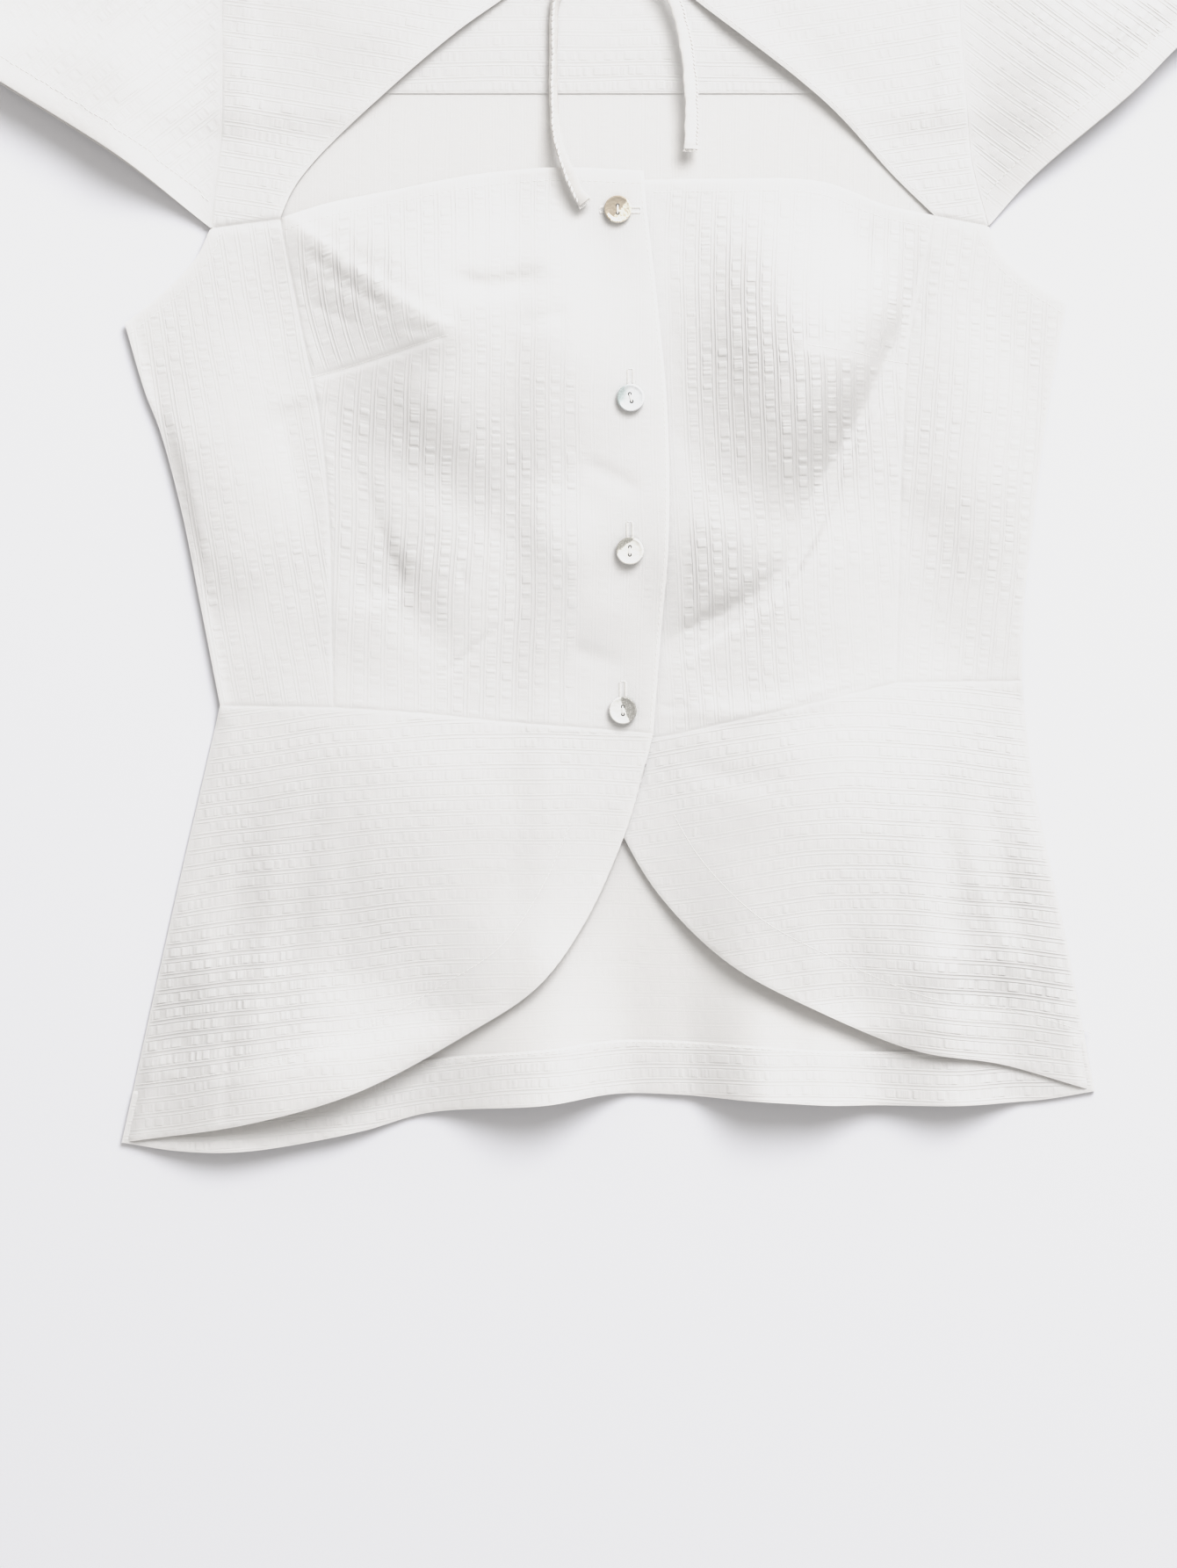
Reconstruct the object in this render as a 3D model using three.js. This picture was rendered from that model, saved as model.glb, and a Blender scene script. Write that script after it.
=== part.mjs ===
// A peplum blouse of crinkled white cotton, lying flat on its back.
//
// Millimetres, +Z up. +Y runs from the hem to the neck and the wearer's right side lies at -X.
// The back rests on the plane z = 0 and the fronts lie on the back. Every cloth piece is a thin
// wall: a four-sided patch between named seam lines, raised by the same height functions as its
// neighbours, so that the pieces meet at their seams with a small gap.

import * as THREE from 'three';

// ---- driving dimensions ----------------------------------------------------------------------

const WALL = 1.1; // height of a layer of cloth
const GAP = 0.35; // clearance between layers
const SEAM_INSET = 0.18; // each panel stops this far short of its seam line
const LAYER = WALL + GAP;

const BUTTON_RADIUS = 6.4;
const BUTTON_HEIGHT = 2.3;
const BUTTON_HOLE_RADIUS = 0.85;
const BUTTON_HOLE_SPACING = 3.6;

const TIE_STEPS = 26;

const BINDING_WIDTH = 6.5;
const HEM_BAND_DEPTH = 25;
const FACING_EDGE_Y = 180.5; // lower edge of the inner back yoke

// Steps along the seam lines that two pieces share, so that their facets meet.
const SLEEVE_SEAM_STEPS = 8;
const NECK_STEPS = 5;
const SHOULDER_STEPS = 3;

// ---- materials -------------------------------------------------------------------------------

const COTTON = new THREE.MeshStandardMaterial({ color: 0xe9e9e8, roughness: 0.9, metalness: 0 });
const COTTON_BACK = new THREE.MeshStandardMaterial({ color: 0xe3e1dc, roughness: 0.9, metalness: 0 });
const SHELL = new THREE.MeshStandardMaterial({ color: 0xe6dfd3, roughness: 0.3, metalness: 0 });

// ---- seam lines ------------------------------------------------------------------------------
// Each seam line is a short list of [x, y] places that a smooth curve runs through.

const SEAMS = {
  // bodice side seams, from the waist up to the underarm
  sideRight: [[-178, -105], [-187, -59], [-196, -14], [-206, 23], [-213, 41], [-222.5, 73]],
  sideLeft: [[196, -93.5], [197, -58], [200, -31], [207.5, 29], [217, 83]],
  // bare armhole edges, from the underarm in to the foot of the sleeve
  armholeRight: [[-222.5, 73], [-204, 88], [-189, 104], [-182.5, 117.5]],
  armholeLeft: [[217, 83], [197, 96], [185, 108], [180.5, 118.5]],
  // sleeve seams, from the foot of the sleeve up to the shoulder point
  sleeveSeamRight: [[-182.5, 117.5], [-180, 142], [-177.5, 161], [-177, 224], [-175, 271.5]],
  sleeveSeamLeft: [[180.5, 118.5], [173, 147.5], [171, 166], [167, 224], [168, 272]],
  // shoulder seams, from the shoulder point in to the neck
  shoulderRight: [[-175, 271.5], [-129, 290.5], [-83, 307]],
  shoulderLeft: [[168, 272], [125, 291], [87, 307]],
  backNeck: [[-83, 307], [-51, 300], [2, 296.5], [55, 300], [87, 307]],
  frontNeckRight: [[-83, 307], [-74, 291], [-53, 275], [-27, 264], [3, 259]],
  frontNeckLeft: [[87, 307], [78, 291], [57, 275], [33, 264], [4.2, 259]],
  // keyhole edges, from the foot of the yoke up to the centre of the neck
  keyholeRight: [[-150, 122], [-144, 135.5], [-132, 151], [-100, 181], [-68, 208], [-46, 224], [3, 259]],
  keyholeLeft: [[155, 123.5], [137, 141], [105, 175], [43, 224], [4.2, 259]],
  // the feet of the yokes, where they are sewn to the side fronts
  yokeFootRight: [[-182.5, 117.5], [-150, 122]],
  yokeFootLeft: [[180.5, 118.5], [155, 123.5]],
  // the top edge of the bodice, from the princess seam to the front edge
  topRight: [[-150, 122], [-127, 129], [-96, 135.5], [-59, 142.5], [-24, 145.5], [19.5, 144]],
  topLeft: [[155, 123.5], [132, 128.5], [103, 139], [55, 140.5], [20, 140], [-17, 139]],
  // princess seams, from the waist up
  princessRight: [[-125, -106], [-126, -62], [-127, -22], [-132, 31], [-140, 70], [-150, 122]],
  princessLeft: [[137, -94.5], [138, -62], [140, 10], [144, 70], [149, 92], [155, 123.5]],
  // front edges of the bodice, from the waist up
  frontEdgeRight: [[24, -118], [27.5, -73], [31, -30], [30.5, 32], [26, 81], [20.5, 130], [19.5, 144]],
  frontEdgeLeft: [[-5, -120], [-10, -38], [-12, 32], [-16, 81], [-17, 139]],
  // waist seams, from the side seam in to the front edge
  waistSideRight: [[-178, -105], [-125, -106]],
  waistSideLeft: [[196, -93.5], [137, -94.5]],
  waistCentreRight: [[-125, -106], [-86, -108.5], [-52, -112], [24, -118]],
  waistCentreLeft: [[137, -94.5], [101, -103.5], [63, -112], [24, -120], [-5, -120]],
  waistBack: [[-178, -105], [-60, -111], [90, -107], [196, -93.5]],
  // peplum side seams, from the waist down
  peplumSideRight: [[-178, -105], [-188, -148], [-195, -178], [-210, -245], [-224, -309]],
  peplumSideLeft: [[196, -93.5], [200, -131], [206, -164], [217, -215], [230, -285]],
  // cut-away front edges of the peplum: a short upright stretch, then the long curve
  peplumRiseRight: [[24, -118], [20.5, -133]],
  peplumRiseLeft: [[-5, -120], [-2, -136]],
  peplumCurveRight: [[20.5, -133], [10, -167], [-9, -208], [-30, -236], [-61, -257], [-112, -284],
    [-163, -299], [-224, -309]],
  peplumCurveLeft: [[-2, -136], [10.5, -167], [28, -195], [59, -225], [100, -247], [144, -265],
    [185, -272], [230, -285]],
  // back hem, from the right side seam to the left one
  backHem: [[-224, -309], [-198, -312.5], [-165, -312.5], [-112, -303.5], [-81, -295], [-27, -290.5],
    [7, -286], [69, -288.5], [117, -291], [200, -289.5], [230, -285]],
  // cap sleeves: hem from the foot of the sleeve outwards, then the folded top edge
  sleeveHemRight: [[-182.5, 117.5], [-223, 148.5], [-281, 185], [-324, 212]],
  sleeveHemLeft: [[180.5, 118.5], [200.5, 140.5], [247, 180], [269, 202], [318, 243]],
  sleeveTopRight: [[-175, 271.5], [-215, 263], [-270, 243], [-321, 219]],
  sleeveTopLeft: [[168, 272], [210, 274], [265, 263], [316, 250]],
  sleeveTipRight: [[-324, 212], [-321, 219]],
  sleeveTipLeft: [[318, 243], [316, 250]],
};

// ---- forms -----------------------------------------------------------------------------------

// How far the back hem stands off the surface, along the hem.
const HEM_LIFTS = [
  { x: -224, lift: 0 },
  { x: -172, lift: 8 },
  { x: -128, lift: 5 },
  { x: -88, lift: 0 },
  { x: -24, lift: 18 },
  { x: 16, lift: 0 },
  { x: 38, lift: 1 },
  { x: 78, lift: 18 },
  { x: 100, lift: 16 },
  { x: 130, lift: 5 },
  { x: 164, lift: 12 },
  { x: 199, lift: 0 },
  { x: 230, lift: 0 },
];
const HEM_LIFT_REACH = 120; // the flutes fade out this far above the hem

// Soft swellings of the fronts: the two cups, the ease at the waist and the loose peplum fronts.
const SWELLS = [
  { x: -58, y: 66, rx: 76, ry: 84, height: 10.5 },
  { x: 84, y: 66, rx: 60, ry: 88, height: 13 },
  { x: -60, y: -50, rx: 80, ry: 62, height: 5 },
  { x: 95, y: -50, rx: 80, ry: 55, height: 3 },
  { x: 5, y: 20, rx: 60, ry: 130, height: 4 },
  { x: -175, y: 10, rx: 45, ry: 80, height: 4 },
  { x: 172, y: 10, rx: 36, ry: 85, height: 4 },
  { x: -76, y: -165, rx: 112, ry: 120, height: 8 },
  { x: 108, y: -170, rx: 110, ry: 124, height: 14 },
  { x: -134, y: -284, rx: 86, ry: 60, height: 9 },
  { x: -105, y: 225, rx: 75, ry: 60, height: 3 },
  { x: 95, y: 225, rx: 70, ry: 60, height: 3 },
];

// Main folds: a ridge along a straight run, steep on one side and long on the other.
const FOLDS = [
  { from: [130, 96], to: [46, -44], height: 7, left: 26, right: 18 },
  { from: [-84, 40], to: [-8, -40], height: 2.4, left: 15, right: 24 },
  { from: [-98, -112], to: [-118, -296], height: 2, left: 52, right: 50 },
  { from: [-142, 121], to: [-68, 66], height: 3.6, left: 15, right: 24 },
];

const clamp01 = (value) => Math.min(1, Math.max(0, value));
const smooth = (value) => clamp01(value) ** 2 * (3 - 2 * clamp01(value));

/** Smooth reading of a table of { x, [key] } rows at one x. */
function readTable(rows, key, x) {
  const next = rows.findIndex((row) => row.x >= x);
  if (next <= 0) return (next === 0 ? rows[0] : rows.at(-1))[key];
  const [a, b] = [rows[next - 1], rows[next]];
  return a[key] + (b[key] - a[key]) * smooth((x - a.x) / (b.x - a.x));
}

/** Height of the back hem line at one x, read straight between its places. */
function hemLine(x) {
  const line = SEAMS.backHem;
  const next = Math.max(1, line.findIndex((place) => place[0] >= x));
  const [a, b] = x > line.at(-1)[0] ? line.slice(-2) : [line[next - 1], line[next]];
  return a[1] + (b[1] - a[1]) * clamp01((x - a[0]) / (b[0] - a[0]));
}

/** Underside of the back: flat on the surface, with flutes that rise towards the hem. */
function backHeight(x, y) {
  const above = clamp01((y - hemLine(x)) / HEM_LIFT_REACH);
  const flare = 1 - 0.11 * above;
  return readTable(HEM_LIFTS, 'lift', x / flare) * (1 - above) ** 1.6;
}

/** One rounded swelling: full height at its middle and level with the cloth at its rim. */
function swellHeight(swell, x, y) {
  const reach = ((x - swell.x) / swell.rx) ** 2 + ((y - swell.y) / swell.ry) ** 2;
  return swell.height * clamp01(1 - reach) ** 2;
}

/** One fold: a rounded ridge whose two flanks have their own widths, fading at both ends. */
function foldHeight(fold, x, y) {
  const [x0, y0] = fold.from;
  const run = new THREE.Vector2(fold.to[0] - x0, fold.to[1] - y0);
  const length = run.length();
  const along = ((x - x0) * run.x + (y - y0) * run.y) / length ** 2;
  const across = ((x - x0) * -run.y + (y - y0) * run.x) / length;
  const flank = across > 0 ? fold.right : fold.left;
  const ends = smooth((along + 0.15) / 0.3) * smooth((1.15 - along) / 0.3);
  return fold.height * ends * Math.exp(-((across / flank) ** 2));
}

/** Underside of the fronts: a layer above the back, over its facing and hem turning, and puffed. */
function frontHeight(x, y) {
  const overFacing = smooth((y - FACING_EDGE_Y + 24) / 18);
  const overHemBand = smooth((HEM_BAND_DEPTH + 26 - (y - hemLine(x))) / 18);
  let height = backHeight(x, y) * 1.12 + LAYER * (1 + overFacing + overHemBand) + 0.3;
  for (const swell of SWELLS) height += swellHeight(swell, x, y);
  for (const fold of FOLDS) height += foldHeight(fold, x, y);
  return height;
}

/** Underside of the right front pieces, which lap over the left ones at the centre. */
function lappedHeight(x, y) {
  return frontHeight(x, y) + (LAYER + 0.5) * smooth((x + 44) / 20);
}

// ---- surfaces --------------------------------------------------------------------------------

/** Places along one or more seam lines: [[name, steps], ...]; a minus sign walks it backwards. */
function walk(route) {
  const places = [];
  for (const [name, steps] of route) {
    const backwards = name.startsWith('-');
    const line = SEAMS[backwards ? name.slice(1) : name].map(([x, y]) => new THREE.Vector3(x, y, 0));
    const curve = new THREE.CatmullRomCurve3(backwards ? line.reverse() : line, false, 'centripetal');
    const run = curve.getSpacedPoints(steps);
    places.push(...(places.length ? run.slice(1) : run));
  }
  return places;
}

/** A grid of places between four seam routes that meet at their ends (a Coons patch). */
function patch({ bottom, top, left, right }) {
  const [low, high, start, end] = [bottom, top, left, right].map(walk);
  const columns = low.length - 1;
  const rows = start.length - 1;
  if (high.length !== low.length || end.length !== start.length) throw new Error('seam steps differ');
  const grid = low.map((_, i) => start.map((__, j) => {
    const [s, t] = [i / columns, j / rows];
    const place = new THREE.Vector3();
    place.addScaledVector(low[i], 1 - t).addScaledVector(high[i], t);
    place.addScaledVector(start[j], 1 - s).addScaledVector(end[j], s);
    place.addScaledVector(low[0], -(1 - s) * (1 - t)).addScaledVector(low[columns], -s * (1 - t));
    place.addScaledVector(high[0], -(1 - s) * t).addScaledVector(high[columns], -s * t);
    return place;
  }));
  return insetGrid(grid);
}

/** Draws the outer places of a grid in from the seam line, square to the edge. */
function insetGrid(grid) {
  const [columns, rows] = [grid.length - 1, grid[0].length - 1];
  const at = (i, j) => grid[Math.min(columns, Math.max(0, i))][Math.min(rows, Math.max(0, j))];
  return grid.map((column, i) => column.map((place, j) => {
    const moved = place.clone();
    const pull = (along, inward) => {
      const normal = new THREE.Vector3(-along.y, along.x, 0).normalize();
      moved.addScaledVector(normal, Math.sign(normal.dot(inward)) * SEAM_INSET);
    };
    const alongRows = at(i, j + 1).clone().sub(at(i, j - 1));
    const alongColumns = at(i + 1, j).clone().sub(at(i - 1, j));
    if (i === 0) pull(alongRows, at(1, j).clone().sub(place));
    if (i === columns) pull(alongRows, at(columns - 1, j).clone().sub(place));
    if (j === 0) pull(alongColumns, at(i, 1).clone().sub(place));
    if (j === rows) pull(alongColumns, at(i, rows - 1).clone().sub(place));
    return moved;
  }));
}

/** A copy of a grid with each place raised to height(x, y), plus a constant. */
function raise(grid, height, more = 0) {
  return grid.map((column) => column.map(({ x, y }) => new THREE.Vector3(x, y, height(x, y) + more)));
}

/** Six times the signed volume of an indexed mesh. */
function signedVolume(places, index) {
  let total = 0;
  for (let k = 0; k < index.length; k += 3) {
    const [a, b, c] = [places[index[k]], places[index[k + 1]], places[index[k + 2]]];
    total += a.dot(new THREE.Vector3().crossVectors(b, c));
  }
  return total;
}

/** A closed geometry from places and triangles, turned so that its faces point outwards. */
function closedGeometry(places, index) {
  if (signedVolume(places, index) < 0) index.reverse();
  const geometry = new THREE.BufferGeometry().setFromPoints(places);
  geometry.setIndex(index);
  geometry.computeVertexNormals();
  return geometry;
}

/** The closed wall between two grids of the same size, with a rim on its four sides. */
function wallGeometry(outer, inner) {
  const [columns, rows] = [outer.length, outer[0].length];
  const places = [...outer.flat(), ...inner.flat()];
  const index = [];
  const quad = (a, b, c, d) => index.push(a, b, c, a, c, d);
  const top = (i, j) => i * rows + j;
  const under = (i, j) => columns * rows + top(i, j);
  for (let i = 0; i < columns - 1; i += 1) {
    for (let j = 0; j < rows - 1; j += 1) {
      quad(top(i, j), top(i + 1, j), top(i + 1, j + 1), top(i, j + 1));
      quad(under(i, j), under(i, j + 1), under(i + 1, j + 1), under(i + 1, j));
    }
    quad(top(i, 0), under(i, 0), under(i + 1, 0), top(i + 1, 0));
    quad(top(i + 1, rows - 1), under(i + 1, rows - 1), under(i, rows - 1), top(i, rows - 1));
  }
  for (let j = 0; j < rows - 1; j += 1) {
    quad(top(0, j + 1), under(0, j + 1), under(0, j), top(0, j));
    quad(top(columns - 1, j), under(columns - 1, j), under(columns - 1, j + 1), top(columns - 1, j + 1));
  }
  return closedGeometry(places, index);
}

// ---- pieces ----------------------------------------------------------------------------------

const blouse = new THREE.Group();
blouse.name = 'peplum_blouse';

function add(name, geometry, material = COTTON) {
  const mesh = new THREE.Mesh(geometry, material);
  mesh.name = name;
  blouse.add(mesh);
  return mesh;
}

/** A flat-cut panel: a wall standing on the height function, over a grid of places. */
function addPanel(name, grid, height, material) {
  add(name, wallGeometry(raise(grid, height, WALL), raise(grid, height)), material);
}

const BACK_ROUTES = {
  bottom: [['waistBack', 12]],
  top: [['shoulderRight', SHOULDER_STEPS], ['backNeck', 6], ['-shoulderLeft', SHOULDER_STEPS]],
  left: [['sideRight', 3], ['armholeRight', 3], ['sleeveSeamRight', SLEEVE_SEAM_STEPS]],
  right: [['sideLeft', 3], ['armholeLeft', 3], ['sleeveSeamLeft', SLEEVE_SEAM_STEPS]],
};
const FACING_ROWS_BELOW = 9; // rows of the back that lie below the inner yoke

function addBack() {
  addPanel('back_bodice', patch(BACK_ROUTES), () => 0, COTTON_BACK);
  const peplum = patch({
    bottom: [['backHem', 40]],
    top: [['waistBack', 40]],
    left: [['-peplumSideRight', 6]],
    right: [['-peplumSideLeft', 6]],
  });
  for (const column of peplum) {
    const towards = column[1].clone().sub(column[0]).normalize();
    column[1] = column[0].clone().addScaledVector(towards, HEM_BAND_DEPTH);
  }
  addPanel('back_peplum', peplum, backHeight, COTTON_BACK);
  // The turned-up hem lies on the lowest row of the back peplum: its places, moved up by one layer.
  const turnedUp = peplum.map((column) => column.slice(0, 2));
  addPanel('back_hem_band', turnedUp, (x, y) => backHeight(x, y) + LAYER, COTTON_BACK);
}

/** The inner yoke covers the top of the back down to a straight lower edge. */
function addYokeFacing() {
  const grid = patch(BACK_ROUTES).map((column) => {
    const above = column.slice(FACING_ROWS_BELOW);
    return above.map((place, j) => (j === 0 ? place.clone().setY(FACING_EDGE_Y) : place));
  });
  addPanel('back_yoke_facing', grid, () => LAYER, COTTON_BACK);
}

function addFronts() {
  const sides = { Right: lappedHeight, Left: frontHeight };
  for (const [side, height] of Object.entries(sides)) {
    const tag = side.toLowerCase();
    addPanel(`front_side_${tag}`, patch({
      bottom: [[`waistSide${side}`, 5]],
      top: [[`armhole${side}`, 3], [`yokeFoot${side}`, 2]],
      left: [[`side${side}`, 13]],
      right: [[`princess${side}`, 13]],
    }), height);
    addPanel(`front_centre_${tag}`, patch({
      bottom: [[`waistCentre${side}`, 12]],
      top: [[`top${side}`, 12]],
      left: [[`princess${side}`, 13]],
      right: [[`frontEdge${side}`, 13]],
    }), height);
    addPanel(`peplum_front_${tag}`, patch({
      bottom: [[`-peplumCurve${side}`, 20]],
      top: [[`waistSide${side}`, 6], [`waistCentre${side}`, 14]],
      left: [[`-peplumSide${side}`, 7]],
      right: [[`-peplumRise${side}`, 7]],
    }), height);
    addPanel(`yoke_${tag}`, patch({
      bottom: [[`yokeFoot${side}`, SHOULDER_STEPS + NECK_STEPS]],
      top: [[`shoulder${side}`, SHOULDER_STEPS], [`frontNeck${side}`, NECK_STEPS]],
      left: [[`sleeveSeam${side}`, SLEEVE_SEAM_STEPS]],
      right: [[`keyhole${side}`, SLEEVE_SEAM_STEPS]],
    }), height);
  }
}

// ---- sleeves ---------------------------------------------------------------------------------

const SLEEVES = [
  { side: 'Right', hemLift: 14, crown: 7 },
  { side: 'Left', hemLift: 9, crown: 7 },
];
const FOLD_STEPS = 4;

/** A cap sleeve lying double: the front layer, round the fold at its top edge, and the back layer. */
function addSleeve({ side, hemLift, crown }) {
  const grid = patch({
    bottom: [[`sleeveHem${side}`, 9]],
    top: [[`sleeveTop${side}`, 9]],
    left: [[`sleeveSeam${side}`, SLEEVE_SEAM_STEPS]],
    right: [[`sleeveTip${side}`, SLEEVE_SEAM_STEPS]],
  });
  const columns = grid.length - 1;
  const outer = [];
  const inner = [];
  grid.forEach((column, i) => {
    const s = i / columns;
    const rows = column.length - 1;
    const free = smooth(s / 0.35) * (1 - 0.45 * smooth((s - 0.8) / 0.2));
    const front = column.map(({ x, y }, j) => {
      const t = j / rows;
      const puff = hemLift * (1 - t) ** 1.5 + crown * Math.sin(Math.PI * t ** 0.8) * (1 - s * 0.5);
      return new THREE.Vector3(x, y, frontHeight(x, y) * (1 - free) + free * (LAYER * 2 + puff));
    });
    const back = column.map(({ x, y }, j) => (
      new THREE.Vector3(x, y, 0.25 * hemLift * free * (1 - j / rows) ** 3)
    ));
    const towards = column[rows].clone().sub(column[rows - 1]).normalize();
    const crest = column[rows];
    const [high, low] = [front[rows].z, back[rows].z];
    const bend = (radius, k) => {
      const turn = (Math.PI * k) / FOLD_STEPS;
      const middle = (high + WALL + low) / 2;
      const reach = radius * Math.sin(turn) * 0.6;
      return crest.clone().addScaledVector(towards, reach).setZ(middle + radius * Math.cos(turn));
    };
    const outerRadius = (high + WALL - low) / 2;
    const turns = Array.from({ length: FOLD_STEPS - 1 }, (_, k) => k + 1);
    const up = (places, more) => places.map((place) => place.clone().setZ(place.z + more));
    const below = [...back].reverse();
    outer.push([...up(front, WALL), ...turns.map((k) => bend(outerRadius, k)), ...below]);
    inner.push([...front, ...turns.map((k) => bend(outerRadius - WALL, k)), ...up(below, WALL)]);
  });
  add(`sleeve_${side.toLowerCase()}`, wallGeometry(outer, inner));
}

// ---- neck binding, knot and ties --------------------------------------------------------------

const KNOT = { x: 3.6, y: 258.5, z: 10.6, rx: 8, ry: 6.5, rz: 3.9 };

/** The strip round the neck: along one front, round the fold at the shoulder, the back, and again. */
function addNeckBinding() {
  const middleOfWall = (height) => ({ x, y }) => height(x, y) + WALL / 2;
  const rightLevel = middleOfWall(lappedHeight);
  const leftLevel = middleOfWall(frontHeight);
  const backLevel = () => WALL / 2;
  const up = new THREE.Vector3(0, 0, 1);
  const stations = [];
  const centre = new THREE.Vector3(2, 330, 0);
  const lay = (route, level, facing) => {
    const line = walk(route);
    line.forEach((place, i) => {
      const along = line[Math.min(i + 1, line.length - 1)].clone().sub(line[Math.max(i - 1, 0)]);
      const across = new THREE.Vector3(-along.y, along.x, 0).normalize();
      if (across.dot(centre.clone().sub(place)) < 0) across.negate();
      const upwards = up.clone().multiplyScalar(facing);
      stations.push({ place: place.clone().setZ(level(place)), across, facing: upwards });
    });
  };
  const turn = (x, y, sign) => {
    const out = new THREE.Vector3(0.35 * sign, 0.94, 0);
    const across = new THREE.Vector3(-0.55 * sign, 0.83, 0).normalize();
    const levels = [(sign < 0 ? rightLevel : leftLevel)({ x, y }), backLevel()];
    const middle = (levels[0] + levels[1]) / 2;
    const radius = (levels[0] - levels[1]) / 2;
    const bend = [45, 90, 135].map((degrees) => THREE.MathUtils.degToRad(degrees)).map((angle) => ({
      place: new THREE.Vector3(x, y, middle).addScaledVector(up, radius * Math.cos(angle))
        .addScaledVector(out, radius * Math.sin(angle)),
      across,
      facing: out.clone().multiplyScalar(Math.sin(angle)).addScaledVector(up, Math.cos(angle)),
    }));
    stations.push(...(sign < 0 ? bend : bend.reverse()));
  };
  lay([['-frontNeckRight', NECK_STEPS]], rightLevel, 1);
  turn(...SEAMS.backNeck[0], -1);
  lay([['backNeck', 6]], backLevel, -1);
  turn(...SEAMS.backNeck.at(-1), 1);
  lay([['frontNeckLeft', NECK_STEPS]], leftLevel, 1);
  const surface = (side) => stations.map(({ place, across, facing }) => (
    [GAP, BINDING_WIDTH].map((width) => (
      place.clone().addScaledVector(across, width).addScaledVector(facing, (side * WALL) / 2)
    ))
  ));
  add('neck_binding', wallGeometry(surface(1), surface(-1)));
}

function addKnot() {
  const knot = add('tie_knot', new THREE.SphereGeometry(1, 16, 10).scale(KNOT.rx, KNOT.ry, KNOT.rz));
  knot.position.set(KNOT.x, KNOT.y, KNOT.z);
}

// The ties fall from the knot through the keyhole. The right one ends on the bodice.
const TIES = {
  tie_right: {
    width: 5.2,
    thickness: 2.8,
    route: [[-1, 252.4, 9.5], [-9, 242, 7.4], [-17.5, 232, 5.8], [-21.7, 222, 5.2], [-22.5, 206, 5],
      [-22.7, 190, 5], [-22.4, 176, 5.2], [-21.4, 163, 6.6], [-19.6, 154, 8.4], [-17, 146.5, 9.4],
      [-14, 139, 9.8], [-11, 132.5, 9.7], [-8, 128.5, 9.6]],
  },
  tie_left: {
    width: 6.3,
    thickness: 2.2,
    route: [[9, 253.4, 9.4], [17, 244.5, 9.2], [26, 234, 9.4], [33.6, 222.5, 9.6], [37.5, 210, 9.5],
      [40, 197, 9.2], [41.3, 184, 8.8], [41.9, 171, 8.2], [41.5, 153.5, 7.8]],
  },
};

/** A flat tie: an oval section carried along its route. */
function addTie(name, { width, thickness, route }) {
  const section = new THREE.Shape();
  section.absellipse(0, 0, thickness / 2, width / 2, 0, Math.PI * 2);
  const extrudePath = new THREE.CatmullRomCurve3(route.map((place) => new THREE.Vector3(...place)));
  const outline = new THREE.Shape(section.getSpacedPoints(8).slice(0, 8));
  add(name, new THREE.ExtrudeGeometry(outline, { extrudePath, steps: TIE_STEPS, bevelEnabled: false }));
}

// ---- buttons ---------------------------------------------------------------------------------

const BUTTONS = [
  { x: 7.4, y: 125.6 },
  { x: 13.4, y: 37.6 },
  { x: 13, y: -33.5 },
  { x: 9.8, y: -107.5 },
];

/** A two-hole button lying on the right front's edge. */
function addButton({ x, y }, number) {
  const disc = new THREE.Shape().absarc(0, 0, BUTTON_RADIUS, 0, Math.PI * 2);
  for (const side of [-1, 1]) {
    const hole = new THREE.Path();
    disc.holes.push(hole.absarc(0, (side * BUTTON_HOLE_SPACING) / 2, BUTTON_HOLE_RADIUS, 0, Math.PI * 2));
  }
  const geometry = new THREE.ExtrudeGeometry(disc, {
    depth: BUTTON_HEIGHT, bevelEnabled: false, curveSegments: 12,
  });
  const reach = [-BUTTON_RADIUS, 0, BUTTON_RADIUS];
  const seat = Math.max(...reach.flatMap((dx) => reach.map((dy) => lappedHeight(x + dx, y + dy))));
  add(`button_${number}`, geometry, SHELL).position.set(x, y, seat + LAYER);
}

// ---- assembly --------------------------------------------------------------------------------

addBack();
addYokeFacing();
addFronts();
SLEEVES.forEach(addSleeve);
addNeckBinding();
addKnot();
Object.entries(TIES).forEach(([name, tie]) => addTie(name, tie));
BUTTONS.forEach((button, i) => addButton(button, i + 1));

export default blouse;
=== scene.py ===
"""A peplum blouse of crinkled white cotton, laid flat on its back with its neck ties loose.

The wearer's right side lies at -X and the hem at -Y.
"""
import logging
import math
from collections.abc import Callable, Sequence
from dataclasses import dataclass, field
from enum import Enum

import bpy
import numpy as np
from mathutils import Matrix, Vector


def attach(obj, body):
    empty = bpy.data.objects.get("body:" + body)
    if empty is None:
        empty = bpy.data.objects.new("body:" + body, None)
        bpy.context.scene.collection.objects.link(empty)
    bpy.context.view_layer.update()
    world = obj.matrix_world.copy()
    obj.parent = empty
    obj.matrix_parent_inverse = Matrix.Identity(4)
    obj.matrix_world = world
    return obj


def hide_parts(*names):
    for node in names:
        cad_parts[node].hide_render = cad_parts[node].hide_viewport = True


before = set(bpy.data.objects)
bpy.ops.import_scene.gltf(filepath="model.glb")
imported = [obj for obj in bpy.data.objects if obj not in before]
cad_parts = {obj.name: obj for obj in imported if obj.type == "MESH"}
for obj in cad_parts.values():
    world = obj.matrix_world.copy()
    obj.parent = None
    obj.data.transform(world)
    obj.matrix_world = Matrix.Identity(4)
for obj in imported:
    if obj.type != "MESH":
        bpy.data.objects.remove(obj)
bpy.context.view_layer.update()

LOG = logging.getLogger("blouse")

Array = np.ndarray
Places = tuple[tuple[float, ...], ...]
Height = Callable[[Array, Array], Array]

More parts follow.
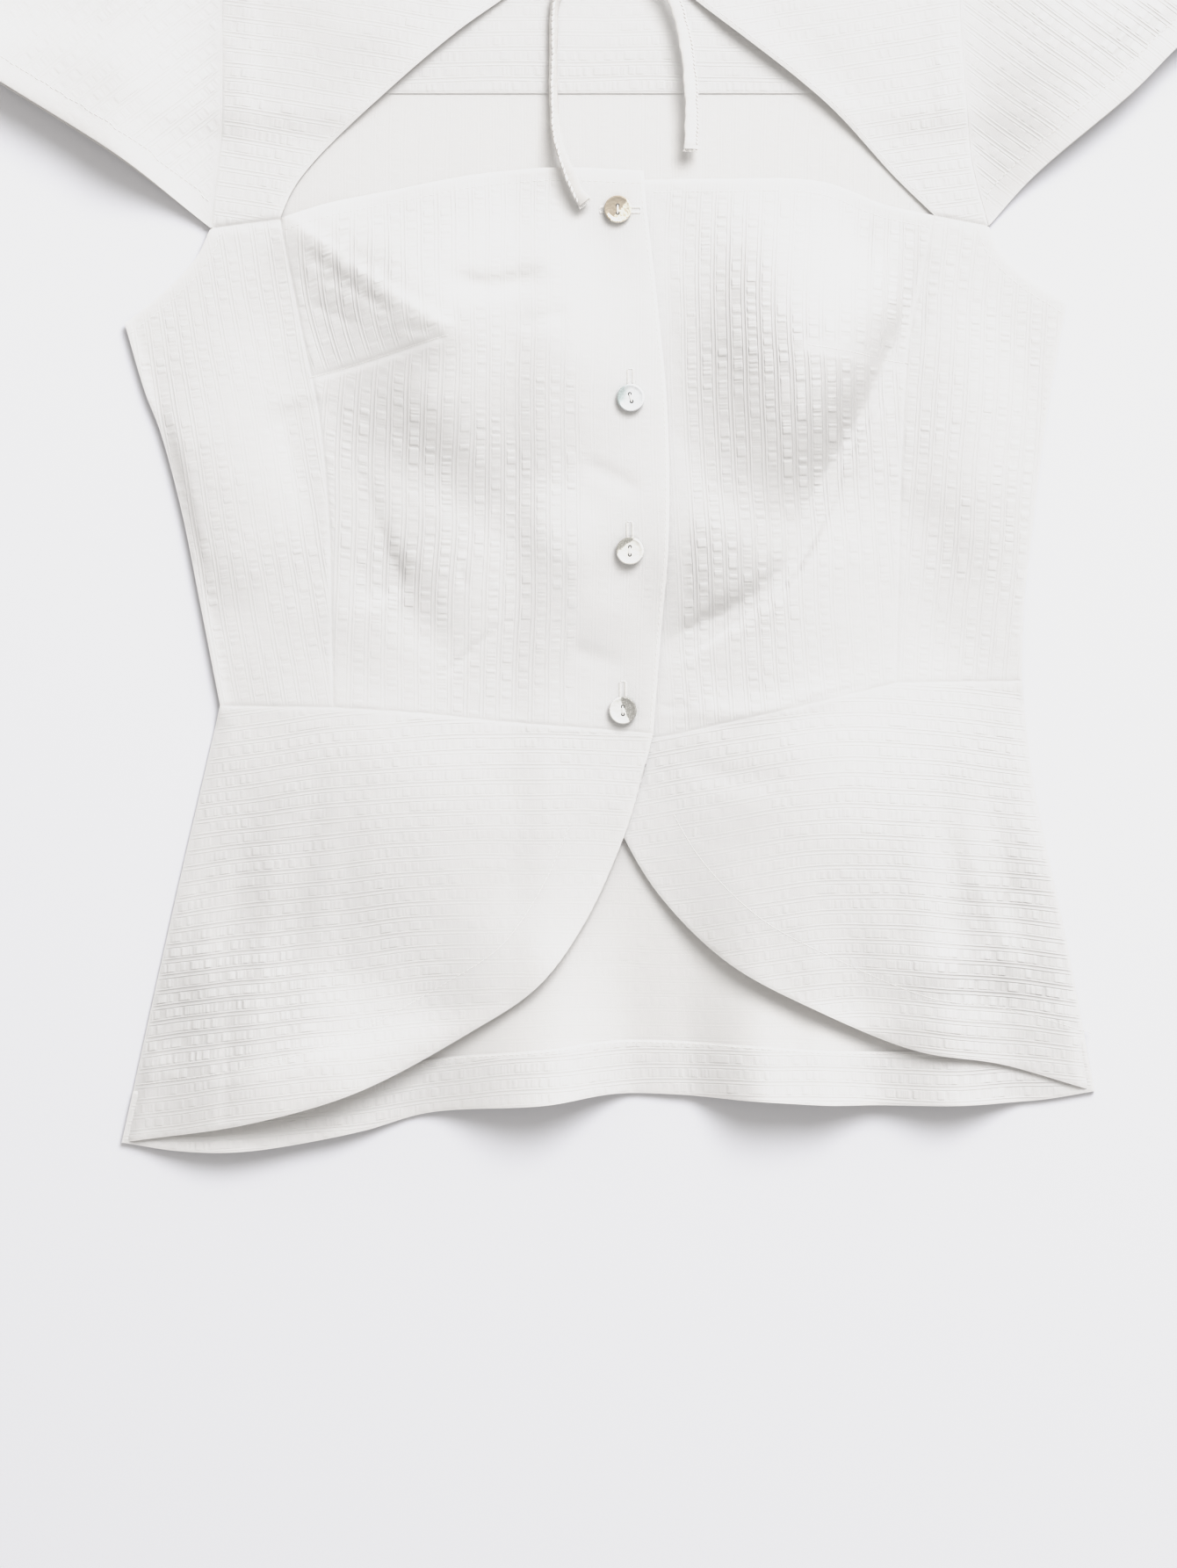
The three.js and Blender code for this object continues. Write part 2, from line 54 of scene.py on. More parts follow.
MM = 0.001
WALL = 1.1  # height that the frame leaves for a layer of cloth
LAYER = 1.45  # from one layer to the next
CLOTH = 0.5  # thickness of the cloth itself
HEM_LIFT_REACH = 120.0
HEM_BAND_DEPTH = 25.0
FACING_EDGE_Y = 180.5
BINDING_WIDTH = 6.5
GAP = 0.35
EDGE_ROWS = (0.0, 0.3, 0.75, 1.3)  # distances from an edge where rows of points crowd
SEWN_REACH = 9.0  # width over which a sewn edge comes down to the layer below
STITCH_SINK = 0.03  # depth of a stitch in the cloth
STITCH_STEP = 2.9
UP = np.array([0.0, 0.0, 1.0])

# Seam lines, each a smooth curve through a few places.
SEAMS: dict[str, Places] = {
    "side_right": ((-178, -105), (-187, -59), (-196, -14), (-206, 23), (-213, 41), (-222.5, 73)),
    "side_left": ((196, -93.5), (197, -58), (200, -31), (207.5, 29), (217, 83)),
    "armhole_right": ((-222.5, 73), (-204, 88), (-189, 104), (-182.5, 117.5)),
    "armhole_left": ((217, 83), (197, 96), (185, 108), (180.5, 118.5)),
    "sleeve_seam_right": ((-182.5, 117.5), (-180, 142), (-177.5, 161), (-177, 224), (-175, 271.5)),
    "sleeve_seam_left": ((180.5, 118.5), (173, 147.5), (171, 166), (167, 224), (168, 272)),
    "shoulder_right": ((-175, 271.5), (-129, 290.5), (-83, 307)),
    "shoulder_left": ((168, 272), (125, 291), (87, 307)),
    "back_neck": ((-83, 307), (-51, 300), (2, 296.5), (55, 300), (87, 307)),
    "neck_right": ((-83, 307), (-74, 291), (-53, 275), (-27, 264), (3, 259)),
    "neck_left": ((87, 307), (78, 291), (57, 275), (33, 264), (4.2, 259)),
    "keyhole_right": ((-150, 122), (-144, 135.5), (-132, 151), (-100, 181), (-68, 208), (-46, 224),
                      (3, 259)),
    "keyhole_left": ((155, 123.5), (137, 141), (105, 175), (43, 224), (4.2, 259)),
    "yoke_foot_right": ((-182.5, 117.5), (-150, 122)),
    "yoke_foot_left": ((180.5, 118.5), (155, 123.5)),
    "top_right": ((-150, 122), (-127, 129), (-96, 135.5), (-59, 142.5), (-24, 145.5), (19.5, 144)),
    "top_left": ((155, 123.5), (132, 128.5), (103, 139), (55, 140.5), (20, 140), (-17, 139)),
    "princess_right": ((-125, -106), (-126, -62), (-127, -22), (-132, 31), (-140, 70), (-150, 122)),
    "princess_left": ((137, -94.5), (138, -62), (140, 10), (144, 70), (149, 92), (155, 123.5)),
    "front_edge_right": ((24, -118), (27.5, -73), (31, -30), (30.5, 32), (26, 81), (20.5, 130),
                         (19.5, 144)),
    "front_edge_left": ((-5, -120), (-10, -38), (-12, 32), (-16, 81), (-17, 139)),
    "waist_side_right": ((-178, -105), (-125, -106)),
    "waist_side_left": ((196, -93.5), (137, -94.5)),
    "waist_centre_right": ((-125, -106), (-86, -108.5), (-52, -112), (24, -118)),
    "waist_centre_left": ((137, -94.5), (101, -103.5), (63, -112), (24, -120), (-5, -120)),
    "waist_back": ((-178, -105), (-60, -111), (90, -107), (196, -93.5)),
    "peplum_side_right": ((-178, -105), (-188, -148), (-195, -178), (-210, -245), (-224, -309)),
    "peplum_side_left": ((196, -93.5), (200, -131), (206, -164), (217, -215), (230, -285)),
    "peplum_rise_right": ((24, -118), (20.5, -133)),
    "peplum_rise_left": ((-5, -120), (-2, -136)),
    "peplum_curve_right": ((20.5, -133), (10, -167), (-9, -208), (-30, -236), (-61, -257),
                           (-112, -284), (-163, -299), (-224, -309)),
    "peplum_curve_left": ((-2, -136), (10.5, -167), (28, -195), (59, -225), (100, -247), (144, -265),
                          (185, -272), (230, -285)),
    "back_hem": ((-224, -309), (-198, -312.5), (-165, -312.5), (-112, -303.5), (-81, -295),
                 (-27, -290.5), (7, -286), (69, -288.5), (117, -291), (200, -289.5), (230, -285)),
    "sleeve_hem_right": ((-182.5, 117.5), (-223, 148.5), (-281, 185), (-324, 212)),
    "sleeve_hem_left": ((180.5, 118.5), (200.5, 140.5), (247, 180), (269, 202), (318, 243)),
    "sleeve_top_right": ((-175, 271.5), (-215, 263), (-270, 243), (-321, 219)),
    "sleeve_top_left": ((168, 272), (210, 274), (265, 263), (316, 250)),
    "sleeve_tip_right": ((-324, 212), (-321, 219)),
    "sleeve_tip_left": ((318, 243), (316, 250)),
    "facing_edge": ((-177.3, 180.5), (0, 180.5), (170.1, 180.5)),
    "sleeve_seam_high_right": ((-177.3, 180.5), (-177, 224), (-175, 271.5)),
    "sleeve_seam_high_left": ((170.1, 180.5), (167, 224), (168, 272)),
    "hem_band_top": ((-218.6, -284.8), (-194, -287.5), (-161, -287.5), (-109.5, -278.5), (-79, -270),
                     (-27, -265), (7, -261), (68, -263), (115.5, -266), (197, -264.5), (225, -260.6)),
    "hem_band_side_right": ((-224, -309), (-218.6, -284.8)),
    "hem_band_side_left": ((230, -285), (225, -260.6)),
    "dart_right": ((-135, 48), (-120, 52), (-96, 59), (-72, 66)),
    "dart_left": ((142, 54.5), (132, 56), (96, 61)),
}


class Side(Enum):
    """A side of the blouse, named as the wearer has it, with the sign of its X."""

    RIGHT = "right"
    LEFT = "left"

    @property
    def sign(self) -> int:
        """-1 for the right side and +1 for the left one."""
        return -1 if self is Side.RIGHT else 1


class Face(Enum):
    """Which face of a cloth piece lies upwards."""

    RIGHT_SIDE = "ribbed face"
    WRONG_SIDE = "smooth face"


# ---- curves and fields -----------------------------------------------------------------------


def smooth(value: Array) -> Array:
    """Rise from 0 to 1 with level ends: v * v * (3 - 2 v), with v held between 0 and 1."""
    held = np.clip(value, 0.0, 1.0)
    return held * held * (3.0 - 2.0 * held)


def ramp(value: Array, start: float, end: float) -> Array:
    """Smooth rise from 0 at start to 1 at end."""
    return smooth((value - start) / (end - start))


def flowing_curve(places: Places, steps: int = 60) -> Array:
    """Centripetal Catmull-Rom curve through places, evenly spaced along its length.

    Formula: between two places a cubic whose end tangents weigh the neighbouring chords by the
    square roots of their lengths; the first and last chords are mirrored outwards.

    Args:
        places: the places, in two or three coordinates.
        steps: pieces that each chord is first divided into.

    Returns:
        Array of points, one row each.
    """
    knots = np.asarray(places, float)
    padded = np.vstack([2 * knots[0] - knots[1], knots, 2 * knots[-1] - knots[-2]])
    before, start, end, after = padded[:-3], padded[1:-2], padded[2:-1], padded[3:]
    gaps = [np.linalg.norm(b - a, axis=1)[:, None] ** 0.5
            for a, b in ((before, start), (start, end), (end, after))]
    leave = (start - before) / gaps[0] - (end - before) / (gaps[0] + gaps[1]) + (end - start) / gaps[1]
    arrive = (end - start) / gaps[1] - (after - start) / (gaps[1] + gaps[2]) + (after - end) / gaps[2]
    leave, arrive = leave * gaps[1], arrive * gaps[1]
    t = (np.arange(steps) / steps)[None, :, None]
    a, b, c, d = (part[:, None, :] for part in (
        start, leave, -3 * start + 3 * end - 2 * leave - arrive, 2 * start - 2 * end + leave + arrive))
    points = np.vstack([(a + b * t + c * t**2 + d * t**3).reshape(-1, knots.shape[1]), knots[-1]])
    return spaced(points, np.linspace(0, 1, len(points)))


def distances(line: Array) -> Array:
    """Distance along a line from its start to each of its points."""
    return np.concatenate([[0.0], np.cumsum(np.linalg.norm(np.diff(line, axis=0), axis=1))])


def spaced(line: Array, fractions: Array) -> Array:
    """Points of a line at fractions of its length, read straight between its own points."""
    run = distances(line)
    return np.stack([np.interp(fractions * run[-1], run, axis) for axis in line.T], axis=1)


def length_of(line: Array) -> float:
    """Length of a line of points."""
    return float(np.linalg.norm(np.diff(line, axis=0), axis=1).sum())


def unit(vectors: Array) -> Array:
    """The same directions, each at length 1."""
    return vectors / np.linalg.norm(vectors, axis=-1, keepdims=True)


def heading(line: Array) -> Array:
    """Direction of a line at each of its points."""
    return unit(np.gradient(line, axis=0))


def upright(run: Array) -> Array:
    """Direction square to each run that leans least from straight up."""
    return unit(np.cross(run, np.cross(UP, run)))


def seam(*names: str) -> Array:
    """One line along several seams, end to end; a minus sign before a name walks it backwards."""
    parts = [flowing_curve(SEAMS[name.lstrip("-")])[:: -1 if name[0] == "-" else 1] for name in names]
    return np.vstack([parts[0]] + [part[1:] for part in parts[1:]])


def nearest(points: Array, x: Array, y: Array) -> Array:
    """Least distance from each place to any of these points.

    Args:
        points: one row of X and Y for each point.
        x: X of the places.
        y: Y of the places.

    Returns:
        Distances, in the shape of x.
    """
    flat = np.stack([x.ravel(), y.ravel()], axis=1)
    parts = np.array_split(flat, 1 + len(flat) * len(points) // 4_000_000)
    gaps = [(np.subtract.outer(part[:, 0], points[:, 0]) ** 2
             + np.subtract.outer(part[:, 1], points[:, 1]) ** 2).min(1) for part in parts]
    return np.sqrt(np.concatenate(gaps)).reshape(x.shape)


def distance_to(line: Array, x: Array, y: Array) -> Array:
    """Least distance from each place to a line, by its nearest point on an even walk of the line."""
    return nearest(spaced(line, np.linspace(0, 1, max(12, round(length_of(line) / 1.2)))), x, y)


@dataclass(frozen=True)
class Unevenness:
    """Smooth random heights: a lattice of seeded numbers, read with smooth steps between them."""

    seed: int
    pitch: float
    height: float

    def __call__(self, x: Array, y: Array) -> Array:
        """Height at each place, between -height and +height.

        Args:
            x: X of the places.
            y: Y of the places.

        Returns:
            The heights.
        """
        lattice = np.random.default_rng(self.seed).uniform(-1, 1, (160, 160))
        u, v = x / self.pitch + 80.0, y / self.pitch + 80.0
        i, j = (np.clip(np.floor(w).astype(int), 0, 158) for w in (u, v))
        s, t = smooth(u - i), smooth(v - j)
        low = lattice[i, j] * (1 - s) + lattice[i + 1, j] * s
        high = lattice[i, j + 1] * (1 - s) + lattice[i + 1, j + 1] * s
        return self.height * (low * (1 - t) + high * t)


@dataclass(frozen=True)
class Crease:
    """A fold line in the cloth, above or below the smooth form.

    Formula: height * exp(-(d / reach)^2), where d is the distance to the line and reach differs on
    its two hands, times a smooth fade over its first and last parts.
    """

    line: Places
    height: float
    left_hand: float  # reach on the left of one who walks the line
    right_hand: float
    fade: float = 0.3  # share of the line at each end
    reaches: float = 3.2  # of the wider reach, past which the crease is nothing

    def __call__(self, x: Array, y: Array) -> Array:
        """Height that the crease adds at each place.

        Args:
            x: X of the places.
            y: Y of the places.

        Returns:
            The heights.
        """
        walk = spaced(flowing_curve(self.line), np.linspace(0, 1, 26))
        margin = self.reaches * max(self.left_hand, self.right_hand)
        low, high = walk.min(0) - margin, walk.max(0) + margin
        near = (x > low[0]) & (x < high[0]) & (y > low[1]) & (y < high[1])
        px, py = x[near], y[near]
        best, hand, along = np.full(px.shape, 1e9), np.ones(px.shape), np.zeros(px.shape)
        for k, (a, b) in enumerate(zip(walk[:-1], walk[1:])):
            run = b - a
            t = np.clip(((px - a[0]) * run[0] + (py - a[1]) * run[1]) / (run @ run), 0, 1)
            away = np.hypot(px - a[0] - t * run[0], py - a[1] - t * run[1])
            closer = away < best
            best = np.where(closer, away, best)
            hand = np.where(closer, np.sign(run[0] * (py - a[1]) - run[1] * (px - a[0])), hand)
            along = np.where(closer, (k + t) / (len(walk) - 1), along)
        flank = np.where(hand > 0, self.left_hand, self.right_hand)
        ends = ramp(along, 0, self.fade) * ramp(1 - along, 0, self.fade)
        out = np.zeros(x.shape)
        out[near] = self.height * ends * np.exp(-((best / flank) ** 2))
        return out


# ---- the lie of the cloth ----------------------------------------------------------------------


@dataclass(frozen=True)
class Drape:
    """How the layers lie: flutes at the back hem, swellings of the fronts, folds and creases."""

    hem_lifts: Places = ((-224, 0), (-172, 8), (-128, 5), (-88, 0), (-24, 18), (16, 0), (38, 1),
                         (78, 18), (100, 16), (130, 5), (164, 12), (199, 0), (230, 0))
    # middle x, y, reach in x and y, height
    swells: Places = ((-58, 66, 76, 84, 10.5), (84, 66, 60, 88, 13), (-60, -50, 80, 62, 5),
                      (95, -50, 80, 55, 3), (5, 20, 60, 130, 4), (-175, 10, 45, 80, 4),
                      (172, 10, 36, 85, 4), (-76, -165, 112, 120, 8), (108, -170, 110, 124, 14),
                      (-134, -284, 86, 60, 9), (-105, 225, 75, 60, 3), (95, 225, 70, 60, 3))
    # start x, y, end x, y, height, reach at the -X side and at the +X side
    folds: Places = ((130, 96, 46, -44, 7, 26, 18), (-84, 40, -8, -40, 2.4, 15, 24),
                     (-98, -112, -118, -296, 2, 52, 50), (-142, 121, -68, 66, 3.6, 15, 24))
    creases: tuple[Crease, ...] = (
        # right front, below the dart
        Crease(((-135, 40), (-132, 22), (-120, -4), (-107, -30), (-92, -56)), -4.2, 8, 15, 0.12),
        Crease(((-104, -34), (-91, -57), (-76, -76), (-62, -90)), -2.0, 13, 12, 0.4),
        Crease(((-118, 12), (-88, -4), (-58, -26)), 1.6, 28, 14, 0.4),
        # right front, fanning from the princess seam to the dart
        Crease(((-150, 124), (-118, 100), (-90, 80), (-66, 66)), 1.5, 4, 30, 0.12),
        Crease(((-136, 47.5), (-104, 56), (-72, 66)), -0.6, 1.6, 1.6, 0.05),
        Crease(((-144, 112), (-126, 97), (-108, 84), (-92, 72)), -0.9, 3.5, 3),
        Crease(((-134, 96), (-118, 88)), -0.5, 2.5, 2.5),
        Crease(((-138, 84), (-112, 70)), -0.4, 2.5, 2.5),
        Crease(((-95, 70), (-73, 67)), -0.5, 3, 2.5),
        Crease(((-76, 94), (-50, 90), (-22, 97)), -1.9, 5, 6),
        Crease(((-41, 70), (-14, 79)), -0.6, 4, 4),
        Crease(((-78, -95), (-45, -65)), -0.6, 1.6, 2.4),
        Crease(((-66, -38), (-64, -52)), -0.4, 2, 2),
        # right side front: a long soft ridge from the underarm to the waist
        Crease(((-214, 44), (-186, 0), (-150, -62)), 1.7, 26, 26, 0.3),
        # placket
        Crease(((-13, 10), (4, 2), (21, -7)), -0.6, 4, 5),
        Crease(((-18, -77), (14, -89)), -0.6, 4, 5),
        # left front: the long diagonal valley, and the folds beside it
        Crease(((155, 110), (145, 72), (128.5, 40), (111.5, 9), (101, -18), (88, -43), (69, -60),
                (43, -76), (28, -86)), -4.6, 3.2, 8.5, 0.1),
        Crease(((142, 108), (130, 80), (113, 52), (96, 22), (85, -3), (76, -20)), 2.0, 11, 20, 0.35),
        Crease(((66, -38), (46, -58), (24, -70)), 1.5, 9, 18, 0.4),
        Crease(((136, 122), (127, 101), (114, 88), (108, 79)), 1.4, 9, 5),
        Crease(((127, 122), (120, 100), (111, 76)), -1.5, 7, 9, 0.3),
        Crease(((25, -106), (61, -109), (129, -95)), 1.0, 6, 4),
        Crease(((82, -107), (125, -95)), -0.5, 2, 2),
        Crease(((26, -106), (43, -106)), -0.5, 2, 2),
        Crease(((168, 60), (164, 0), (152, -62)), -0.5, 7, 7),
        # peplum fronts, fanning from the waist
        Crease(((-128, -118), (-142, -214), (-148, -262)), -0.9, 6, 7, 0.4),
        Crease(((-114, -116), (-119, -191), (-123, -250)), -0.5, 7, 6, 0.4),
        Crease(((-158, -140), (-172, -200), (-184, -262)), -1.0, 6, 6, 0.4),
        Crease(((-150, -150), (-158, -220), (-165, -296)), 0.9, 6, 5, 0.3),
        Crease(((-176, -130), (-190, -200), (-203, -270)), -0.9, 6, 5, 0.4),
        Crease(((-172, -232), (-174, -262), (-175, -312)), -0.7, 4, 2.5, 0.25),
        Crease(((158, -118), (163, -190), (174, -258)), -2.2, 9, 8, 0.4),
        Crease(((-124, -277), (-84, -262), (-40, -232), (-12, -196)), 2.6, 34, 12, 0.35),
        Crease(((132, -150), (138, -214), (142, -250)), -0.8, 7, 7, 0.4),
        Crease(((176, -128), (190, -190), (206, -252)), -1.1, 6, 6, 0.4),
        Crease(((168, -150), (175, -190), (189, -222), (192, -262)), 0.8, 5, 5, 0.3),
        Crease(((30, -124), (56, -138), (96, -140)), -0.7, 6, 6, 0.4),
        Crease(((130, -236), (180, -228), (226, -218)), 3.2, 18, 34, 0.3),
        Crease(((-206, -232), (-160, -238), (-112, -232)), 2.4, 18, 32, 0.3),
        # feet of the yokes
        Crease(((-182, 117), (-166, 119), (-148, 121)), -0.9, 1.5, 1.8, 0.05),
        Crease(((155, 122), (168, 120), (181, 118)), -0.9, 1.5, 1.8, 0.05),
        # yokes: edges of the keyhole, and the gathers beside the sleeve seams
        Crease(((137, 141), (105, 175), (43, 224)), 1.3, 8, 10, 0.2),
        Crease(((-132, 151), (-100, 181), (-46, 224)), 0.8, 10, 10, 0.2),
        Crease(((160, 150), (158, 200), (156, 260)), 0.8, 5, 9),
        Crease(((-168, 140), (-166, 200), (-166, 262)), 0.8, 9, 6),
    )
    # middle x, y, reach in x and y, and how much more, or less, the cloth is crinkled there, with as much
    # more, or less, painted shade in its hollows
    crinkle_and_shade_places: Places = ((-118, 88, 34, 40, 0.7), (-98, 22, 44, 34, 0.6), (-46, 0, 40, 36, 0.4),
                        (-84, -46, 36, 40, 0.5), (64, 56, 34, 84, 0.8), (96, 28, 40, 60, 0.7),
                        (56, -44, 50, 40, 0.8), (132, 92, 30, 40, 0.6), (-170, -256, 66, 74, 1.3),
                        (-150, -180, 44, 60, 0.4), (194, -236, 60, 90, 1.5), (150, -250, 60, 34, 0.5),
                        (250, 215, 70, 60, 0.8), (-160, 20, 40, 90, -0.5), (-36, -190, 62, 90, -0.7),
                        (56, -170, 50, 60, -0.5), (-100, -92, 60, 30, -0.4), (130, -70, 50, 50, -0.5),
                        (-10, 100, 60, 50, -0.5), (0, 225, 110, 50, -0.55),
                        (-122, 215, 60, 100, -0.5), (122, 215, 60, 100, -0.35),
                        (-190, -60, 34, 44, 0.5))
    ripples: tuple[Unevenness, ...] = (
        Unevenness(11, 52, 0.55), Unevenness(12, 21, 0.28), Unevenness(13, 9, 0.08))
    back_ripples: tuple[Unevenness, ...] = (Unevenness(21, 60, 0.12), Unevenness(22, 20, 0.07))
    # seam where front and back meet, and how high its edge stands
    side_stands: tuple[tuple[str, float], ...] = (("side_right", 2.2), ("side_left", 1.0))
    stand_reach: float = 12.0
    flute_draw: float = 0.11  # how much a flute narrows from the hem to its top
    flute_fall: float = 1.6
    hollow_floor: float = -0.25  # the deepest that a hollow goes below the bed
    floor_hardness: float = 2.5
    lap: float = LAYER + 0.5  # height of the right front over the left one
    lap_from: tuple[float, float] = (-44.0, -24.0)  # X where it starts and ends its climb

    def crinkled(self, x: Array, y: Array) -> Array:
        """Share of crinkle, and of the painted shade in its hollows, at each place: 1, and more or less by
        more * (1 - r^2)^2 in each ellipse.

        Args:
            x: X of the places.
            y: Y of the places.

        Returns:
            The shares, held between 0.25 and 2.
        """
        share = np.ones(x.shape)
        for middle_x, middle_y, reach_x, reach_y, more in self.crinkle_and_shade_places:
            distance = ((x - middle_x) / reach_x) ** 2 + ((y - middle_y) / reach_y) ** 2
            share += more * np.clip(1 - distance, 0, 1) ** 2
        return np.clip(share, 0.25, 2.0)

    def hem_y(self, x: Array) -> Array:
        """Y of the back hem at each X, read straight between its places."""
        places = np.asarray(SEAMS["back_hem"])
        return np.interp(x, places[:, 0], places[:, 1])

    def back(self, x: Array, y: Array) -> Array:
        """Level of the back: flat, with flutes that rise towards the hem.

        Formula: the flute's lift at the hem times (1 - a)^flute_fall, where a runs from 0 at the hem
        to 1 at HEM_LIFT_REACH above it, and X is drawn in by flute_draw over that height.

        Args:
            x: X of the places.
            y: Y of the places.

        Returns:
            Heights over the surface.
        """
        above = np.clip((y - self.hem_y(x)) / HEM_LIFT_REACH, 0, 1)
        table = np.asarray(self.hem_lifts, float)
        at = np.clip(x / (1 - self.flute_draw * above), table[0, 0], table[-1, 0])
        k = np.clip(np.searchsorted(table[:, 0], at), 1, len(table) - 1)
        low, high = table[k - 1], table[k]
        share = smooth((at - low[..., 0]) / (high[..., 0] - low[..., 0]))
        return (low[..., 1] + (high[..., 1] - low[..., 1]) * share) * (1 - above) ** self.flute_fall

    def bed(self, x: Array, y: Array) -> Array:
        """Lowest level of the fronts: a layer over the back, and over its facing and turned-up hem.

        Args:
            x: X of the places.
            y: Y of the places.

        Returns:
            Heights over the surface.
        """
        over_facing = ramp(y, FACING_EDGE_Y - 24, FACING_EDGE_Y - 6)
        over_hem = smooth((HEM_BAND_DEPTH + 26 - (y - self.hem_y(x))) / 18)
        return self.back(x, y) * 1.12 + LAYER * (1 + over_facing + over_hem) + 0.3

    def front(self, x: Array, y: Array) -> Array:
        """Level of the fronts: the bed with its swellings, main folds, creases and ripples.

        Formula: a swelling is height * (1 - r^2)^2 inside its ellipse; a main fold is a crease along
        a straight run. Hollows are held off the bed below by a soft floor.

        Args:
            x: X of the places.
            y: Y of the places.

        Returns:
            Heights over the surface.
        """
        more = np.zeros(x.shape)
        for middle_x, middle_y, reach_x, reach_y, height in self.swells:
            inside = np.clip(1 - ((x - middle_x) / reach_x) ** 2 - ((y - middle_y) / reach_y) ** 2, 0, 1)
            more += height * inside**2
        for x0, y0, x1, y1, height, minus_x, plus_x in self.folds:
            run = np.array([x1 - x0, y1 - y0])
            size = math.hypot(*run)
            along = ((x - x0) * run[0] + (y - y0) * run[1]) / size**2
            across = (-(x - x0) * run[1] + (y - y0) * run[0]) / size
            ends = ramp(along, -0.15, 0.15) * ramp(-along, -1.15, -0.85)
            more += height * ends * np.exp(-((across / np.where(across > 0, plus_x, minus_x)) ** 2))
        for part in self.creases + self.ripples:
            more += part(x, y)
        above = np.logaddexp(0, (more - self.hollow_floor) * self.floor_hardness) / self.floor_hardness
        return self.bed(x, y) + self.hollow_floor + above

    def lapped(self, x: Array, y: Array) -> Array:
        """Level of the right front, which lies over the left one at the centre."""
        return self.front(x, y) + self.lap * ramp(x, *self.lap_from)

    def inner(self, x: Array, y: Array) -> Array:
        """Level of the back seen inside: slight ripples that only rise, and edges that stand up.

        Formula: at a side seam the edge's stand times a smooth fall over its reach is added.

        Args:
            x: X of the places.
            y: Y of the places.

        Returns:
            Heights over the surface.
        """
        level = self.back(x, y) + 0.15 + sum(part(x, y) for part in self.back_ripples) * 0.8
        for name, stands in self.side_stands:
            level += stands * (1 - ramp(distance_to(seam(name), x, y), 0, self.stand_reach))
        return level


DRAPE = Drape()


# ---- grain of the cloth -------------------------------------------------------------------------


@dataclass(frozen=True)
class StraightGrain:
    """Ribs that run straight.

    Formula: the place turned by the angle that the ribs make with the Y axis.
    """

    turn: float  # degrees from +Y towards -X

    def __call__(self, x: Array, y: Array) -> tuple[Array, Array]:
        """Distance across the ribs and along them."""
        angle = math.radians(self.turn)
        return x * math.cos(angle) + y * math.sin(angle), y * math.cos(angle) - x * math.sin(angle)


@dataclass(frozen=True)
class ArchedGrain:
    """Ribs that run across the blouse in an arch: Y less the arch's own height at that X."""

    slopes: Places  # x, and the slope of the ribs there

    def __call__(self, x: Array, y: Array) -> tuple[Array, Array]:
        """Distance across the ribs and along them.

        Args:
            x: X of the places.
            y: Y of the places.

        Returns:
            The two distances.
        """
        table = np.asarray(self.slopes, float)
        walk = np.arange(-340.0, 340.0, 2.0)
        arch = np.cumsum(np.interp(walk, table[:, 0], table[:, 1])) * 2.0
        return y - np.interp(x, walk, arch), x


@dataclass(frozen=True)
class DartGrain:
    """Ribs that run up and down and turn about the tip of a dart, as a cone unrolls.

    Formula: each place keeps its distance from the tip, and its bearing less the turn of the ribs at
    that bearing, counted from the dart's own line.
    """

    tip: tuple[float, float]
    foot: tuple[float, float]
    turns: Places  # bearing past the dart's line in degrees, and the turn of the ribs there

    def __call__(self, x: Array, y: Array) -> tuple[Array, Array]:
        """Distance across the ribs and along them.

        Args:
            x: X of the places.
            y: Y of the places.

        Returns:
            The two distances.
        """
        dart = math.atan2(self.foot[1] - self.tip[1], self.foot[0] - self.tip[0])
        bearing = np.arctan2(y - self.tip[1], x - self.tip[0])
        past = np.degrees(bearing - dart) % 360
        table = np.asarray(self.turns, float)
        turned = bearing - np.radians(np.interp(past, table[:, 0], table[:, 1]))
        far = np.hypot(x - self.tip[0], y - self.tip[1])
        return far * np.cos(turned), far * np.sin(turned)


Grain = StraightGrain | ArchedGrain | DartGrain


# ---- shader maths ------------------------------------------------------------------------------


class Term:
    """A shader socket that sums, differences and the like can be written with."""

    def __init__(self, bench: "Bench", socket: bpy.types.NodeSocket) -> None:
        """Hold a socket and the bench that makes nodes beside it."""
        self.bench = bench
        self.socket = socket

    def _with(self, operation: str, *values: "Term | float") -> "Term":
        """A Math node of that operation on these values."""
        return self.bench.node("ShaderNodeMath", {"operation": operation}, dict(enumerate(values)))

    def __add__(self, other: "Term | float") -> "Term":
        """Sum."""
        return self._with("ADD", self, other)

    __radd__ = __add__

    def __mul__(self, other: "Term | float") -> "Term":
        """Product."""
        return self._with("MULTIPLY", self, other)

    __rmul__ = __mul__

    def __sub__(self, other: "Term | float") -> "Term":
        """Difference."""
        return self._with("SUBTRACT", self, other)

    def __rsub__(self, other: float) -> "Term":
        """A number less this."""
        return self._with("SUBTRACT", other, self)

    def __truediv__(self, other: "Term | float") -> "Term":
        """Quotient."""
        return self._with("DIVIDE", self, other)

    def __pow__(self, power: float) -> "Term":
        """Power."""
        return self._with("POWER", self, power)

    def __abs__(self) -> "Term":
        """Size without sign."""
        return self._with("ABSOLUTE", self)

    def floor(self) -> "Term":
        """Whole number below."""
        return self._with("FLOOR", self)

    def fraction(self) -> "Term":
        """What is left above the whole number below."""
        return self._with("FRACT", self)

    def rise(self, start: float, end: float, low: float = 0.0, high: float = 1.0) -> "Term":
        """Smooth step from low at start to high at end.

        Args:
            start: where the step begins.
            end: where it is done.
            low: value before it.
            high: value after it.

        Returns:
            The stepped value.
        """
        return self.bench.node(
            "ShaderNodeMapRange", {"interpolation_type": "SMOOTHSTEP"},
            {"Value": self, "From Min": start, "From Max": end, "To Min": low, "To Max": high})


